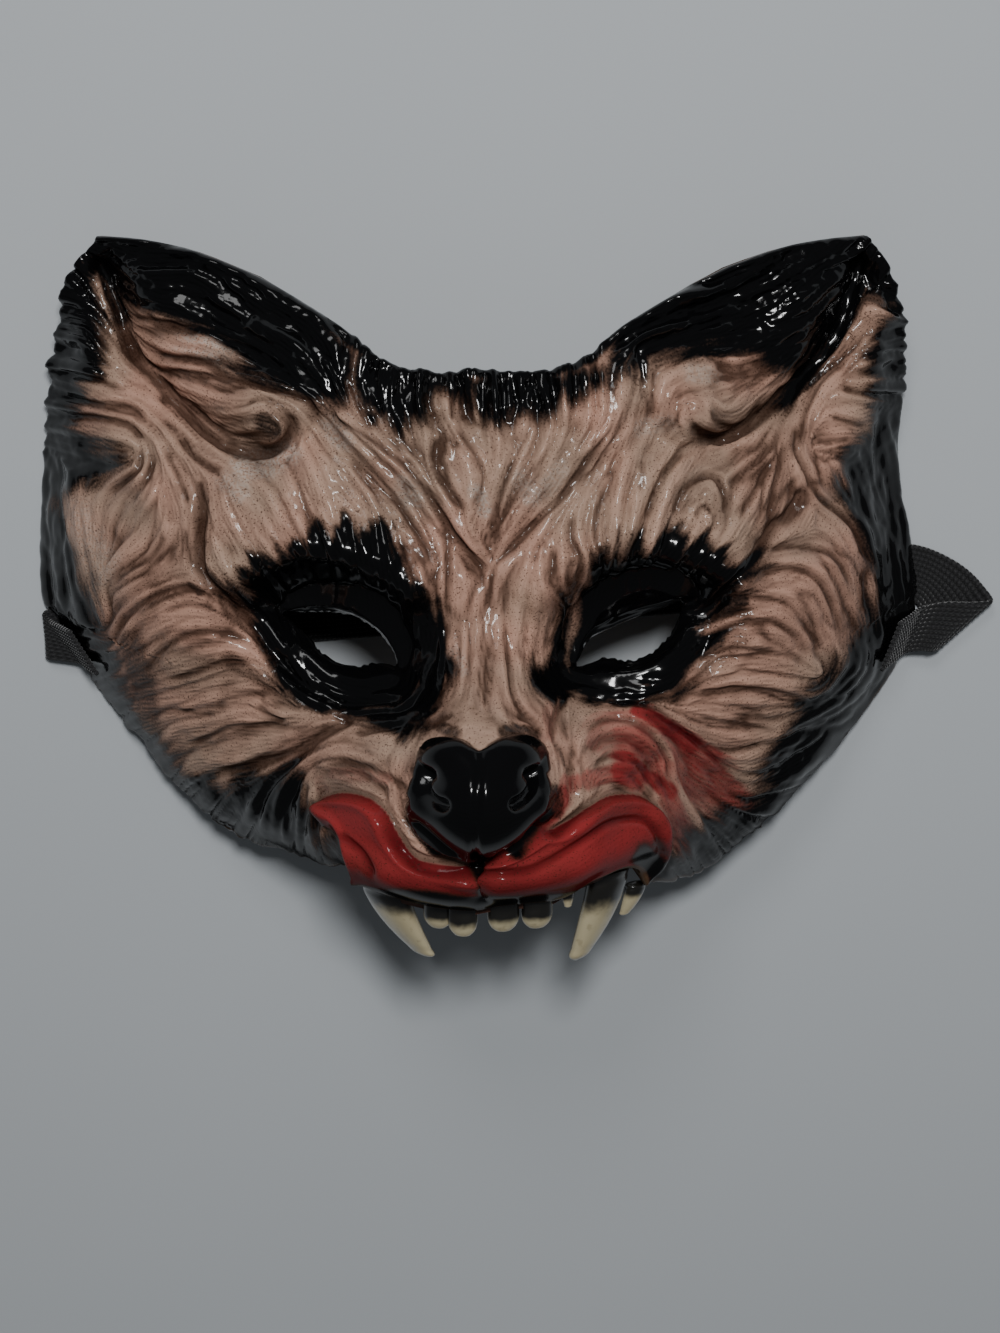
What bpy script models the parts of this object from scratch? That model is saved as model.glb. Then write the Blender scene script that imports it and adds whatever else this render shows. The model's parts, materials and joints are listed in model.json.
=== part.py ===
"""Werewolf half mask: a moulded latex face with ears, fangs and an elastic head strap.

The mask lies face up. +X is the viewer's right, +Y points from the mouth to the ears
and +Z comes out of the face. Sizes are in metres. In the tables, x is a share of
HALF_WIDTH, y a share of EAR_HEIGHT above the eye line or of CHIN_DROP below it, and
z a share of MASK_DEPTH.
"""
import math

import bmesh
import bpy
import numpy as np
from mathutils import Vector

# Driving sizes
HALF_WIDTH = 0.1085
EAR_HEIGHT = 0.087
CHIN_DROP = 0.0605
MASK_DEPTH = 0.096
WALL = 0.002
SEAT_GAP = 0.0003
MILLIMETRES = 1000

EYE_LENGTH = 0.0290
EYE_HEIGHT = 0.0092
EYE_SPACING = 0.0660
EYE_SLOPE = 27.0

GUM_DROP = 0.0038
GUM_RISE = 0.0008
GUM_THICK = 0.0034

EYE_UPPER_SHARE = 0.62

STRAP_WIDTH = 0.0127
STRAP_THICK = 0.0012
STRAP_FLOOR_GAP = 0.0001
STRAP_SEAT_GAP = 0.0007
STRAP_LOOP_REACH = 0.0165
STRAP_LOOP_HEIGHT = 0.0046
STRAP_NOTCH_GAP = 0.0007
STRAP_DOWN_LEFT = 0.632
STRAP_DOWN_RIGHT = 0.622

# How fast the relief fades at the side rims and at the upper rim
SIDE_FADE = 0.07
TOP_FADE = 0.06

# Spread of the grid: above 1 the columns crowd together at the side rims
EDGE_CROWD = 1.3

GUM_START = -0.34
GUM_END = 0.46
GUM_END_ROOM = 0.10
TOOTH_TOP_GAP = 0.0001
LEAN_POWER = 1.6

# Where the strap crosses the open back, and how it turns up at the left rim
STRAP_RUN_SHARES = (0.06, 0.12, 0.30, 0.60, 0.90, 0.95)
STRAP_TURN_REACH = 0.0026
STRAP_TURN = (
    # reach, rise
    (0.35, 0.00),
    (1.00, 0.30),
)
NOTCH_INNER = 0.80
NOTCH_OUTER = 1.15

# Mesh fineness
COLUMNS = 56
ROWS = 38
STROKE_STEPS = 12
STRAP_STEPS = 72
EYE_SIDES = 12
TOOTH_SIDES = 10
TOOTH_RINGS = 8
NORMAL_STEP = 0.004
GUM_COLUMNS = 24
POLE_RING = 1e-4
TINY_RISE = 0.00001
TRIM_DEPTH = 0.010
TINY = 1e-12

# Upper edge, from the middle of the forehead out to the tip of an ear, both sides alike
TOP_EDGE = (
    # across, x, y, z
    (0.00, 0.000, 0.698, 0.438),
    (0.10, 0.083, 0.694, 0.438),
    (0.19, 0.157, 0.703, 0.432),
    (0.25, 0.203, 0.722, 0.417),
    (0.33, 0.267, 0.782, 0.385),
    (0.46, 0.378, 0.862, 0.344),
    (0.60, 0.498, 0.928, 0.292),
    (0.76, 0.627, 0.979, 0.229),
    (0.89, 0.728, 0.997, 0.182),
    (1.00, 0.811, 0.998, 0.146),
)
# Side edges, from the tip of the ear down to the corner of the cheek
SIDE_EDGE = (
    # down, left x, left y, right x, right y, z
    (0.00, 0.811, 0.998, 0.811, 0.998, 0.146),
    (0.05, 0.866, 0.920, 0.857, 0.925, 0.125),
    (0.12, 0.908, 0.799, 0.901, 0.793, 0.099),
    (0.20, 0.934, 0.667, 0.915, 0.667, 0.068),
    (0.30, 0.955, 0.506, 0.914, 0.494, 0.031),
    (0.40, 0.986, 0.333, 0.925, 0.339, -0.012),
    (0.50, 1.000, 0.138, 0.960, 0.138, -0.012),
    (0.58, 0.989, -0.050, 0.990, -0.025, -0.012),
    (0.66, 0.931, -0.231, 0.959, -0.190, -0.012),
    (0.74, 0.857, -0.425, 0.897, -0.380, 0.016),
    (0.82, 0.774, -0.587, 0.811, -0.570, 0.052),
    (0.92, 0.668, -0.793, 0.700, -0.774, 0.109),
    (1.00, 0.571, -0.917, 0.604, -0.921, 0.156),
)
# Lower edge, from the left cheek over the snarling lip to the right cheek
LIP_EDGE = (
    # across, x, y, z
    (-1.00, -0.571, -0.917, 0.156),
    (-0.85, -0.479, -0.967, 0.188),
    (-0.70, -0.387, -0.997, 0.229),
    (-0.62, -0.338, -0.992, 0.292),
    (-0.54, -0.298, -0.926, 0.448),
    (-0.46, -0.253, -0.886, 0.552),
    (-0.30, -0.170, -0.879, 0.646),
    (-0.15, -0.087, -0.879, 0.693),
    (0.00, 0.000, -0.871, 0.708),
    (0.14, 0.076, -0.869, 0.698),
    (0.28, 0.159, -0.868, 0.667),
    (0.39, 0.220, -0.818, 0.625),
    (0.48, 0.276, -0.810, 0.594),
    (0.55, 0.318, -0.876, 0.531),
    (0.60, 0.339, -0.967, 0.438),
    (0.68, 0.382, -1.036, 0.333),
    (0.84, 0.479, -1.058, 0.229),
    (1.00, 0.604, -0.921, 0.156),
)
# Height of the face between its edges, a row for each cross section
SECTION_PLACES = (0.0, 0.15, 0.30, 0.45, 0.60, 0.75, 0.88)
SECTIONS = (
    # down, middle, bridge side, eye, temple, cheek, side, wall
    (0.10, 0.49, 0.49, 0.46, 0.38, 0.28, 0.22, 0.18),
    (0.22, 0.53, 0.52, 0.49, 0.43, 0.34, 0.26, 0.18),
    (0.35, 0.56, 0.54, 0.51, 0.47, 0.41, 0.30, 0.17),
    (0.48, 0.59, 0.54, 0.44, 0.44, 0.42, 0.32, 0.18),
    (0.58, 0.73, 0.61, 0.47, 0.44, 0.41, 0.31, 0.16),
    (0.68, 0.81, 0.73, 0.60, 0.47, 0.40, 0.30, 0.17),
    (0.78, 0.84, 0.79, 0.69, 0.52, 0.39, 0.29, 0.19),
    (0.88, 0.83, 0.80, 0.72, 0.60, 0.42, 0.29, 0.21),
)
# Ridges and grooves drawn as bent strokes: start, bend and end, half width and height
FOLDS = (
    # name, sides, x0, y0, x1, y1, x2, y2, half width, height
    ("ear_fold", "both", 0.80, 0.92, 0.72, 0.55, 0.47, 0.48, 0.042, -0.070),
    ("ear_curl", "both", 0.49, 0.48, 0.38, 0.44, 0.33, 0.56, 0.036, -0.045),
    ("ear_inner_panel", "both", 0.66, 0.86, 0.58, 0.68, 0.46, 0.60, 0.060, 0.030),
    ("ear_outer_ridge", "both", 0.84, 0.72, 0.80, 0.50, 0.70, 0.36, 0.040, 0.022),
    ("brow", "both", 0.14, 0.16, 0.30, 0.34, 0.52, 0.17, 0.055, 0.046),
    ("eye_hollow", "both", 0.17, -0.07, 0.28, 0.08, 0.42, 0.05, 0.080, -0.070),
    ("lower_lid", "both", 0.17, -0.17, 0.30, -0.24, 0.44, 0.00, 0.034, 0.018),
    ("cheekbone", "both", 0.40, -0.20, 0.56, -0.02, 0.70, 0.10, 0.090, 0.025),
    ("forehead_furrow", "both", 0.30, 0.50, 0.16, 0.38, 0.01, 0.22, 0.026, -0.016),
    ("forehead_middle", "one", -0.05, 0.62, 0.02, 0.50, 0.01, 0.28, 0.020, -0.012),
    ("muzzle_side", "both", 0.15, -0.18, 0.22, -0.30, 0.20, -0.55, 0.040, 0.020),
    ("philtrum", "one", 0.00, -0.62, 0.00, -0.70, 0.00, -0.78, 0.022, -0.030),
    ("lip_left", "one", -0.33, -0.66, -0.25, -0.74, -0.02, -0.84, 0.036, 0.028),
    ("lip_right", "one", 0.02, -0.74, 0.22, -0.72, 0.38, -0.70, 0.040, 0.030),
    ("lip_end_right", "one", 0.36, -0.64, 0.40, -0.78, 0.37, -0.92, 0.030, 0.022),
    ("snarl_right", "one", 0.18, -0.46, 0.28, -0.52, 0.36, -0.44, 0.026, -0.018),
)
# Round forms: centre, half lengths along x and y, steepness and height
LUMPS = (
    # name, sides, x, y, length x, length y, steepness, height
    ("nose_pad", "one", 0.000, -0.330, 0.128, 0.245, 4.0, 0.150),
    ("nose_wing", "both", 0.095, -0.400, 0.045, 0.110, 2.0, 0.026),
    ("nostril", "both", 0.088, -0.330, 0.026, 0.055, 2.0, -0.035),
    ("nose_dip", "one", 0.000, -0.145, 0.030, 0.055, 2.0, -0.030),
)
# Teeth, left to right: place along the lip, sizes, sideways lean and depth share of width
TEETH = (
    # name, across, width, length, lean, depth
    ("fang_left", -0.422, 0.0138, 0.0188, 0.0098, 0.46),
    ("incisor_1", -0.173, 0.0060, 0.0068, 0.0000, 0.62),
    ("incisor_2", -0.077, 0.0060, 0.0080, 0.0000, 0.62),
    ("incisor_3", 0.088, 0.0064, 0.0078, 0.0000, 0.62),
    ("incisor_4", 0.210, 0.0064, 0.0076, 0.0000, 0.62),
    ("side_tooth", 0.330, 0.0032, 0.0060, 0.0000, 0.80),
    ("fang_right", 0.505, 0.0108, 0.0242, -0.0076, 0.60),
    ("premolar_right", 0.600, 0.0048, 0.0085, -0.0030, 0.70),
)
# The strap's loop beside the right rim, edge by edge: how far out, along and up
STRAP_LOOP = (
    # lower out, lower along, lower up, upper out, upper along, upper up
    (-0.02, -0.50, 0.88, 0.32, 0.47, 1.00),
    (0.12, -0.52, 0.80, 0.74, 0.45, 0.92),
    (0.21, -0.50, 0.42, 1.00, 0.46, 0.46),
    (0.12, -0.36, 0.06, 0.88, 0.70, 0.05),
    (0.01, 0.07, 0.00, 0.56, 1.09, 0.00),
    (-0.10, 0.35, 0.00, 0.20, 1.35, 0.00),
    (-0.38, 0.50, 0.00, -0.13, 1.49, 0.00),
)
# Where the strap's ends lie on the side walls, as places across the mask
STRAP_SEATS = (0.880, 0.925, 0.965)
# Outline of a tooth from its root to its tip, as shares of its length and half width
TOOTH_OUTLINE = (
    # along, width
    (0.00, 0.00),
    (0.04, 0.74),
    (0.15, 1.00),
    (0.31, 1.00),
    (0.50, 0.91),
    (0.69, 0.76),
    (0.85, 0.58),
    (0.96, 0.36),
    (1.00, 0.00),
)


def smooth_table(rows, places):
    """Read a table at the given places, smoothly; the first column is the place."""
    table = np.array(rows, dtype=float)
    stations, values = table[:, 0], table[:, 1:]
    steps = np.diff(stations)[:, None]
    slopes = np.diff(values, axis=0) / steps
    tangents = np.empty_like(values)
    tangents[0], tangents[-1] = slopes[0], slopes[-1]
    tangents[1:-1] = (slopes[:-1] * steps[1:] + slopes[1:] * steps[:-1]) / (steps[1:] + steps[:-1])
    places = np.asarray(places, dtype=float)
    low = np.clip(np.searchsorted(stations, places, side="right") - 1, 0, len(stations) - 2)
    step = steps[low]
    t = (places - stations[low])[:, None] / step
    return ((2 * t**3 - 3 * t**2 + 1) * values[low] + (t**3 - 2 * t**2 + t) * step * tangents[low]
            + (3 * t**2 - 2 * t**3) * values[low + 1] + (t**3 - t**2) * step * tangents[low + 1])


def to_metres(shares):
    """Turn x, y and z shares into metres."""
    shares = np.asarray(shares, dtype=float)
    rise = np.where(shares[..., 1] >= 0, EAR_HEIGHT, CHIN_DROP)
    return np.stack([shares[..., 0] * HALF_WIDTH, shares[..., 1] * rise, shares[..., 2] * MASK_DEPTH], axis=-1)


def top_edge(across):
    """Points of the upper edge; across runs from -1 at the left ear to 1 at the right."""
    shares = smooth_table(TOP_EDGE, np.abs(across))
    shares[:, 0] *= np.sign(across)
    return to_metres(shares)


def side_edges(down):
    """Points of the left and the right edge; down runs from 0 at the ears to 1."""
    shares = smooth_table(SIDE_EDGE, down)
    left = shares[:, [0, 1, 4]] * np.array([-1, 1, 1])
    return to_metres(left), to_metres(shares[:, [2, 3, 4]])


def lip_edge(across):
    """Points of the lower edge, across from -1 at the left cheek to 1 at the right."""
    return to_metres(smooth_table(LIP_EDGE, across))


def fold_height(x, y, start, bend, end, half_width):
    """How strongly a bent stroke raises each point: 1 on the stroke, fading beside it."""
    t = np.linspace(0.0, 1.0, STROKE_STEPS + 1)[:, None]
    path = (1 - t)**2 * start + 2 * t * (1 - t) * bend + t**2 * end
    nearest = np.full(len(x), np.inf)
    for first, last in zip(path[:-1], path[1:]):
        run = last - first
        along = ((x - first[0]) * run[0] + (y - first[1]) * run[1]) / max(run @ run, TINY)
        along = np.clip(along, 0.0, 1.0)
        gap = np.hypot(x - first[0] - along * run[0], y - first[1] - along * run[1])
        nearest = np.minimum(nearest, gap)
    return np.exp(-(nearest / half_width)**2)


def relief(points, across, down):
    """Height that the folds and lumps add, fading out at the rims of the sides and ears."""
    x, y = points[:, 0], points[:, 1]
    height = np.zeros(len(x))
    for name, sides, *shares, half_width, rise in FOLDS:
        for side in ((-1, 1) if sides == "both" else (1,)):
            stroke = to_metres([(side * shares[k], shares[k + 1], 0.0) for k in (0, 2, 4)])[:, :2]
            height += rise * MASK_DEPTH * fold_height(x, y, *stroke, half_width * HALF_WIDTH)
    for name, sides, *centre, length_x, length_y, steepness, rise in LUMPS:
        for side in ((-1, 1) if sides == "both" else (1,)):
            middle = to_metres([side * centre[0], centre[1], 0.0])
            reach = ((np.abs(x - middle[0]) / (length_x * HALF_WIDTH))**2
                     + (np.abs(y - middle[1]) / (length_y * CHIN_DROP))**2)
            height += rise * MASK_DEPTH * np.exp(-reach**(steepness / 2))
    fade = np.clip((1 - np.abs(across)) / SIDE_FADE, 0, 1) * np.clip(down / TOP_FADE, 0, 1)
    return height * fade


def face_height(across, down):
    """Height of the bare face, from the table of sections between the four edges."""
    half_places = np.array(SECTION_PLACES)
    places = np.concatenate([-half_places[:0:-1], half_places])
    rows = [(0.0, *top_edge(places)[:, 2])]
    for place_down, *shares in SECTIONS:
        half = np.array(shares) * MASK_DEPTH
        rows.append((place_down, *half[:0:-1], *half))
    rows.append((1.0, *lip_edge(places)[:, 2]))
    inner = smooth_table(rows, down)
    left, right = side_edges(down)
    heights = np.empty(len(across))
    for k, place in enumerate(across):
        section = [(-1.0, left[k, 2]), *zip(places, inner[k]), (1.0, right[k, 2])]
        heights[k] = smooth_table(section, [place])[0, 0]
    return heights


def face_surface(across, down):
    """Points of the outer face at each pair of across (-1 to 1) and down (0 to 1)."""
    across = np.asarray(across, dtype=float)
    down = np.asarray(down, dtype=float)
    ends = np.array([-1.0, 1.0])
    w = (across[:, None] + 1) / 2
    v = down[:, None]
    top_ends = top_edge(ends)
    lip_ends = lip_edge(ends)
    left, right = side_edges(down)
    points = ((1 - v) * top_edge(across) + v * lip_edge(across) + (1 - w) * left + w * right
              - (1 - v) * ((1 - w) * top_ends[0] + w * top_ends[1])
              - v * ((1 - w) * lip_ends[0] + w * lip_ends[1]))
    points[:, 2] = face_height(across, down) + relief(points, across, down)
    return points


def outward(across, down):
    """Outward directions of the outer face."""
    step = NORMAL_STEP
    low_across = np.clip(np.asarray(across) - step, -1, 1)
    high_across = np.clip(np.asarray(across) + step, -1, 1)
    low_down = np.clip(np.asarray(down) - step, 0, 1)
    high_down = np.clip(np.asarray(down) + step, 0, 1)
    along_x = face_surface(high_across, down) - face_surface(low_across, down)
    along_y = face_surface(across, low_down) - face_surface(across, high_down)
    normals = np.cross(along_x, along_y)
    return normals / np.linalg.norm(normals, axis=1, keepdims=True)


def new_collection(name):
    collection = bpy.data.collections.new(name)
    bpy.context.scene.collection.children.link(collection)
    return collection


def new_material(name, colour, roughness, metallic=0.0):
    material = bpy.data.materials.new(name)
    material.use_nodes = True
    shader = material.node_tree.nodes["Principled BSDF"]
    shader.inputs["Base Color"].default_value = (*colour, 1.0)
    shader.inputs["Roughness"].default_value = roughness
    shader.inputs["Metallic"].default_value = metallic
    return material


def settle(obj, name, collection, parent):
    """Name an object and put it in its collection, under the mask's empty."""
    obj.name = name
    obj.data.name = name
    for old in list(obj.users_collection):
        old.objects.unlink(obj)
    collection.objects.link(obj)
    obj.parent = parent
    return obj


def make_grid(columns, rows):
    """A flat grid from -1 to 1, and its corner points as an array."""
    bpy.ops.mesh.primitive_grid_add(x_subdivisions=columns, y_subdivisions=rows, size=2)
    obj = bpy.context.object
    flat = np.array([v.co[:] for v in obj.data.vertices])
    return obj, flat


def move_points(obj, points):
    obj.data.vertices.foreach_set("co", np.asarray(points, dtype=float).ravel())
    obj.data.update()


def add_wall(obj, thickness, offset):
    wall = obj.modifiers.new("wall", "SOLIDIFY")
    wall.thickness = thickness
    wall.offset = offset
    return wall


def add_cut(obj, cutter):
    cut = obj.modifiers.new(cutter.name, "BOOLEAN")
    cut.operation = "DIFFERENCE"
    cut.solver = "EXACT"
    cut.object = cutter


def hide_cutter(obj):
    obj.hide_render = True
    obj.display_type = "WIRE"


def make_box_cutter(name, low, high, cutters, parent):
    bpy.ops.mesh.primitive_cube_add(size=1, location=[(a + b) / 2 for a, b in zip(low, high)])
    box = settle(bpy.context.object, name, cutters, parent)
    box.scale = [b - a for a, b in zip(low, high)]
    hide_cutter(box)
    return box


def make_eye_cutter(side, cutters, parent):
    """An almond prism that opens one eye, pointed at both corners."""
    mesh = bpy.data.meshes.new("eye_cutter")
    shape = bmesh.new()
    outline = []
    for k in range(EYE_SIDES):
        t = -1 + 2 * k / EYE_SIDES
        outline.append((t * EYE_LENGTH / 2, (1 - t**2) * EYE_HEIGHT * EYE_UPPER_SHARE))
    for k in range(EYE_SIDES):
        t = 1 - 2 * k / EYE_SIDES
        outline.append((t * EYE_LENGTH / 2, -(1 - t**2) * EYE_HEIGHT * (1 - EYE_UPPER_SHARE)))
    base = shape.faces.new([shape.verts.new((x, y, 0.0)) for x, y in outline])
    top = bmesh.ops.extrude_face_region(shape, geom=[base])
    raised = [item for item in top["geom"] if isinstance(item, bmesh.types.BMVert)]
    bmesh.ops.translate(shape, verts=raised, vec=(0.0, 0.0, MASK_DEPTH))
    bmesh.ops.recalc_face_normals(shape, faces=shape.faces)
    shape.to_mesh(mesh)
    shape.free()
    name = "eye_cutter_left" if side < 0 else "eye_cutter_right"
    cutter = settle(bpy.data.objects.new(name, mesh), name, cutters, parent)
    cutter.location = (side * EYE_SPACING / 2, 0.0, 0.0)
    cutter.rotation_euler = (0.0, 0.0, side * math.radians(EYE_SLOPE))
    hide_cutter(cutter)
    return cutter


def make_shell(collection, cutters, parent):
    """The latex face: one moulding with its ears, nose and lips, open at the back."""
    shell, flat = make_grid(COLUMNS, ROWS)
    across = EDGE_CROWD * flat[:, 0] - (EDGE_CROWD - 1) * flat[:, 0]**3
    down = (1 - flat[:, 1]) / 2
    move_points(shell, face_surface(across, down))
    settle(shell, "mask_shell", collection, parent)
    add_wall(shell, WALL, -1.0)
    floor_low = (-2 * HALF_WIDTH, -2 * CHIN_DROP, -TRIM_DEPTH)
    floor_high = (2 * HALF_WIDTH, 2 * EAR_HEIGHT, 0.0)
    for side in (-1, 1):
        add_cut(shell, make_notch_cutter(side, cutters, parent))
        add_cut(shell, make_eye_cutter(side, cutters, parent))
    add_cut(shell, make_box_cutter("rim_trim", floor_low, floor_high, cutters, parent))
    shell.data.shade_smooth()
    shell.data.materials.append(new_material("painted_latex", (0.30, 0.19, 0.15), 0.42))
    return shell


def lip_frame(across):
    """The lip's edge: its points, the inward direction level with the floor, the wall there."""
    across = np.atleast_1d(np.asarray(across, dtype=float))
    down = np.ones(len(across))
    points = face_surface(across, down)
    normals = outward(across, down)
    level = normals * np.array([1.0, 0.0, 1.0])
    reach = np.linalg.norm(level, axis=1, keepdims=True)
    return points, -level / reach, WALL * reach


def make_gum(collection, cutters, parent):
    """The strip behind the lip that the teeth are set in."""
    gum, flat = make_grid(GUM_COLUMNS, 1)
    across = GUM_START + (GUM_END - GUM_START) * (flat[:, 0] + 1) / 2
    edge, inward, wall = lip_frame(across)
    points = edge + inward * (wall + SEAT_GAP + GUM_THICK / 2)
    points[:, 1] += np.where(flat[:, 1] > 0, GUM_RISE, -GUM_DROP)
    move_points(gum, points)
    settle(gum, "gum_strip", collection, parent)
    add_wall(gum, GUM_THICK, 0.0)
    for name, place, width, length, lean, depth in TEETH:
        if GUM_START - GUM_END_ROOM < place < GUM_END + GUM_END_ROOM:
            cutter = make_tooth(name + "_socket", place, width, length, lean, depth, SEAT_GAP, cutters, parent)
            hide_cutter(cutter)
            add_cut(gum, cutter)
    gum.data.materials.append(new_material("gum_latex", (0.10, 0.045, 0.03), 0.5))
    return gum


def make_tooth(name, place, width, length, lean, depth, room, collection, parent):
    """A tapered tooth that hangs from the lip's edge; room makes it fatter all round."""
    mesh = bpy.data.meshes.new(name)
    shape = bmesh.new()
    bmesh.ops.create_uvsphere(shape, u_segments=TOOTH_SIDES, v_segments=TOOTH_RINGS, radius=1.0)
    shape.to_mesh(mesh)
    shape.free()
    ball = np.array([v.co[:] for v in mesh.vertices])
    along = (1 - ball[:, 2]) / 2
    ring = np.maximum(np.hypot(ball[:, 0], ball[:, 1]), TINY)
    outline = smooth_table(TOOTH_OUTLINE, along)[:, 0]
    edge, inward, wall = lip_frame(place)
    tangent = np.cross(inward[0], [0.0, 1.0, 0.0])
    half_width = outline * width / 2 + np.where(ring > POLE_RING, room, 0.0)
    half_depth = outline * width / 2 * depth + np.where(ring > POLE_RING, room, 0.0)
    root = edge[0] + inward[0] * (SEAT_GAP + width * depth / 2)
    root[1] -= SEAT_GAP + TOOTH_TOP_GAP
    stretch = (length + 2 * room) * along - room
    points = (root + tangent * (ball[:, 0] / ring * half_width)[:, None]
              + inward[0] * (ball[:, 1] / ring * half_depth)[:, None])
    points[:, 1] -= stretch
    points[:, 0] += lean * along**LEAN_POWER
    mesh.vertices.foreach_set("co", points.ravel())
    mesh.update()
    fix = bmesh.new()
    fix.from_mesh(mesh)
    bmesh.ops.recalc_face_normals(fix, faces=fix.faces)
    fix.to_mesh(mesh)
    fix.free()
    mesh.shade_smooth()
    return settle(bpy.data.objects.new(name, mesh), name, collection, parent)


def seat_rows(side, down_middle):
    """The strap's two edges where it lies on a side wall, from the face down to the rim."""
    rows = []
    lift = STRAP_SEAT_GAP + STRAP_THICK / 2
    for place in STRAP_SEATS:
        across = np.full(3, side * place)
        down = np.array([down_middle + NORMAL_STEP, down_middle, down_middle - NORMAL_STEP])
        below, middle, above = face_surface(across, down)
        width_way = (above - below) / np.linalg.norm(above - below)
        middle = middle + outward(across, down)[1] * lift
        rows.append(np.array([middle - width_way * STRAP_WIDTH / 2, middle + width_way * STRAP_WIDTH / 2]))
    return rows


def strap_rows():
    """The strap's route as pairs of edge points, from the right wall round to the left wall."""
    floor_z = STRAP_FLOOR_GAP + STRAP_THICK / 2
    rows = seat_rows(1, STRAP_DOWN_RIGHT)
    right_rim = face_surface([1.0], [STRAP_DOWN_RIGHT])[0]
    for low_out, low_along, low_up, high_out, high_along, high_up in STRAP_LOOP:
        low = (right_rim[0] + low_out * STRAP_LOOP_REACH, right_rim[1] + low_along * STRAP_WIDTH,
               floor_z + low_up * STRAP_LOOP_HEIGHT)
        high = (right_rim[0] + high_out * STRAP_LOOP_REACH, right_rim[1] + high_along * STRAP_WIDTH,
                floor_z + high_up * STRAP_LOOP_HEIGHT)
        rows.append(np.array([low, high]))
    left_rim = face_surface([-1.0], [STRAP_DOWN_LEFT])[0]
    start = rows[-1].mean(axis=0)
    finish = np.array([left_rim[0], left_rim[1], floor_z])
    run = (finish - start) / np.linalg.norm(finish - start)
    across_run = np.array([run[1], -run[0], 0.0]) * STRAP_WIDTH / 2
    length = np.linalg.norm(finish - start)
    for share in STRAP_RUN_SHARES:
        middle = start + run * length * share
        rows.append(np.array([middle - across_run, middle + across_run]))
    seats = seat_rows(-1, STRAP_DOWN_LEFT)
    turn = STRAP_TURN_REACH
    low_seat = seats[-1]
    out = np.array([-1.0, 0.0, 0.0])
    for reach, rise in STRAP_TURN:
        middle = low_seat * rise + rows[-1] * (1 - rise)
        middle[:, 0] = left_rim[0]
        rows.append(middle + out * reach * turn)
    rows.extend(reversed(seats))
    return rows


def make_strap(collection, parent):
    """The elastic head strap: one flat band from wall to wall across the open back."""
    strap, flat = make_grid(STRAP_STEPS, 1)
    rows = np.array(strap_rows())
    middles = rows.mean(axis=1)
    travel = np.concatenate([[0.0], np.cumsum(np.linalg.norm(np.diff(middles, axis=0), axis=1))])
    table = [(place, *low, *high) for place, (low, high) in zip(travel, rows)]
    edges = smooth_table(table, (flat[:, 0] + 1) / 2 * travel[-1])
    edges[:, [2, 5]] = np.maximum(edges[:, [2, 5]], STRAP_FLOOR_GAP + STRAP_THICK / 2)
    points = np.where(flat[:, 1:2] < 0, edges[:, :3], edges[:, 3:])
    move_points(strap, points)
    settle(strap, "strap", collection, parent)
    add_wall(strap, STRAP_THICK, 0.0)
    strap.data.materials.append(new_material("black_elastic", (0.012, 0.012, 0.013), 0.8))
    return strap


def make_notch_cutter(side, cutters, parent):
    """Room under the side rim where the strap passes below it."""
    rows = np.array(strap_rows())
    floor_z = STRAP_FLOOR_GAP + STRAP_THICK / 2
    under = [row for row in rows if row[:, 2].max() < floor_z + TINY_RISE]
    near = np.array([row for row in under if side * row[:, 0].mean() > NOTCH_INNER * HALF_WIDTH])
    low_y = near[:, :, 1].min() - STRAP_NOTCH_GAP
    high_y = near[:, :, 1].max() + STRAP_NOTCH_GAP
    ends = sorted((side * HALF_WIDTH * NOTCH_INNER, side * HALF_WIDTH * NOTCH_OUTER))
    top = floor_z + STRAP_THICK / 2 + STRAP_NOTCH_GAP
    name = "strap_notch_left" if side < 0 else "strap_notch_right"
    return make_box_cutter(name, (ends[0], low_y, -TRIM_DEPTH), (ends[1], high_y, top), cutters, parent)


def stand_on_floor(parts, parent):
    """Move everything so that the origin is the middle of the box's bottom."""
    bpy.context.view_layer.update()
    graph = bpy.context.evaluated_depsgraph_get()
    corners = []
    for part in parts:
        solid = part.evaluated_get(graph)
        corners.extend(solid.matrix_world @ Vector(corner) for corner in solid.bound_box)
    low = [min(corner[k] for corner in corners) for k in range(3)]
    high = [max(corner[k] for corner in corners) for k in range(3)]
    parent.location = (-(low[0] + high[0]) / 2, -(low[1] + high[1]) / 2, -low[2])
    bpy.context.view_layer.update()
    print("box in mm", [round((b - a) * MILLIMETRES, 1) for a, b in zip(low, high)])


def main():
    for obj in list(bpy.data.objects):
        bpy.data.objects.remove(obj, do_unlink=True)
    parts_collection = new_collection("werewolf_half_mask")
    cutters = new_collection("cutters")
    stand = bpy.data.objects.new("mask_middle", None)
    parts_collection.objects.link(stand)
    parts = [make_shell(parts_collection, cutters, stand), make_gum(parts_collection, cutters, stand)]
    enamel = new_material("tooth_enamel", (0.62, 0.56, 0.38), 0.25)
    for name, place, width, length, lean, depth in TEETH:
        tooth = make_tooth(name, place, width, length, lean, depth, 0.0, parts_collection, stand)
        tooth.data.materials.append(enamel)
        parts.append(tooth)
    parts.append(make_strap(parts_collection, stand))
    stand_on_floor(parts, stand)


main()
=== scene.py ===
# %% [markdown]
# # A werewolf half mask in moulded latex
# The real mask is one thin latex moulding with fur, folds, nose and lips sculpted into it,
# sprayed black and red by hand, with eight resin teeth and a ribbed elastic strap.
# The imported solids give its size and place. Here a finer skin is laid over the same curves,
# and the fur, the wrinkles and the paint are worked out strand by strand.

# %% Load the frame
import json
import math

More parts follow.
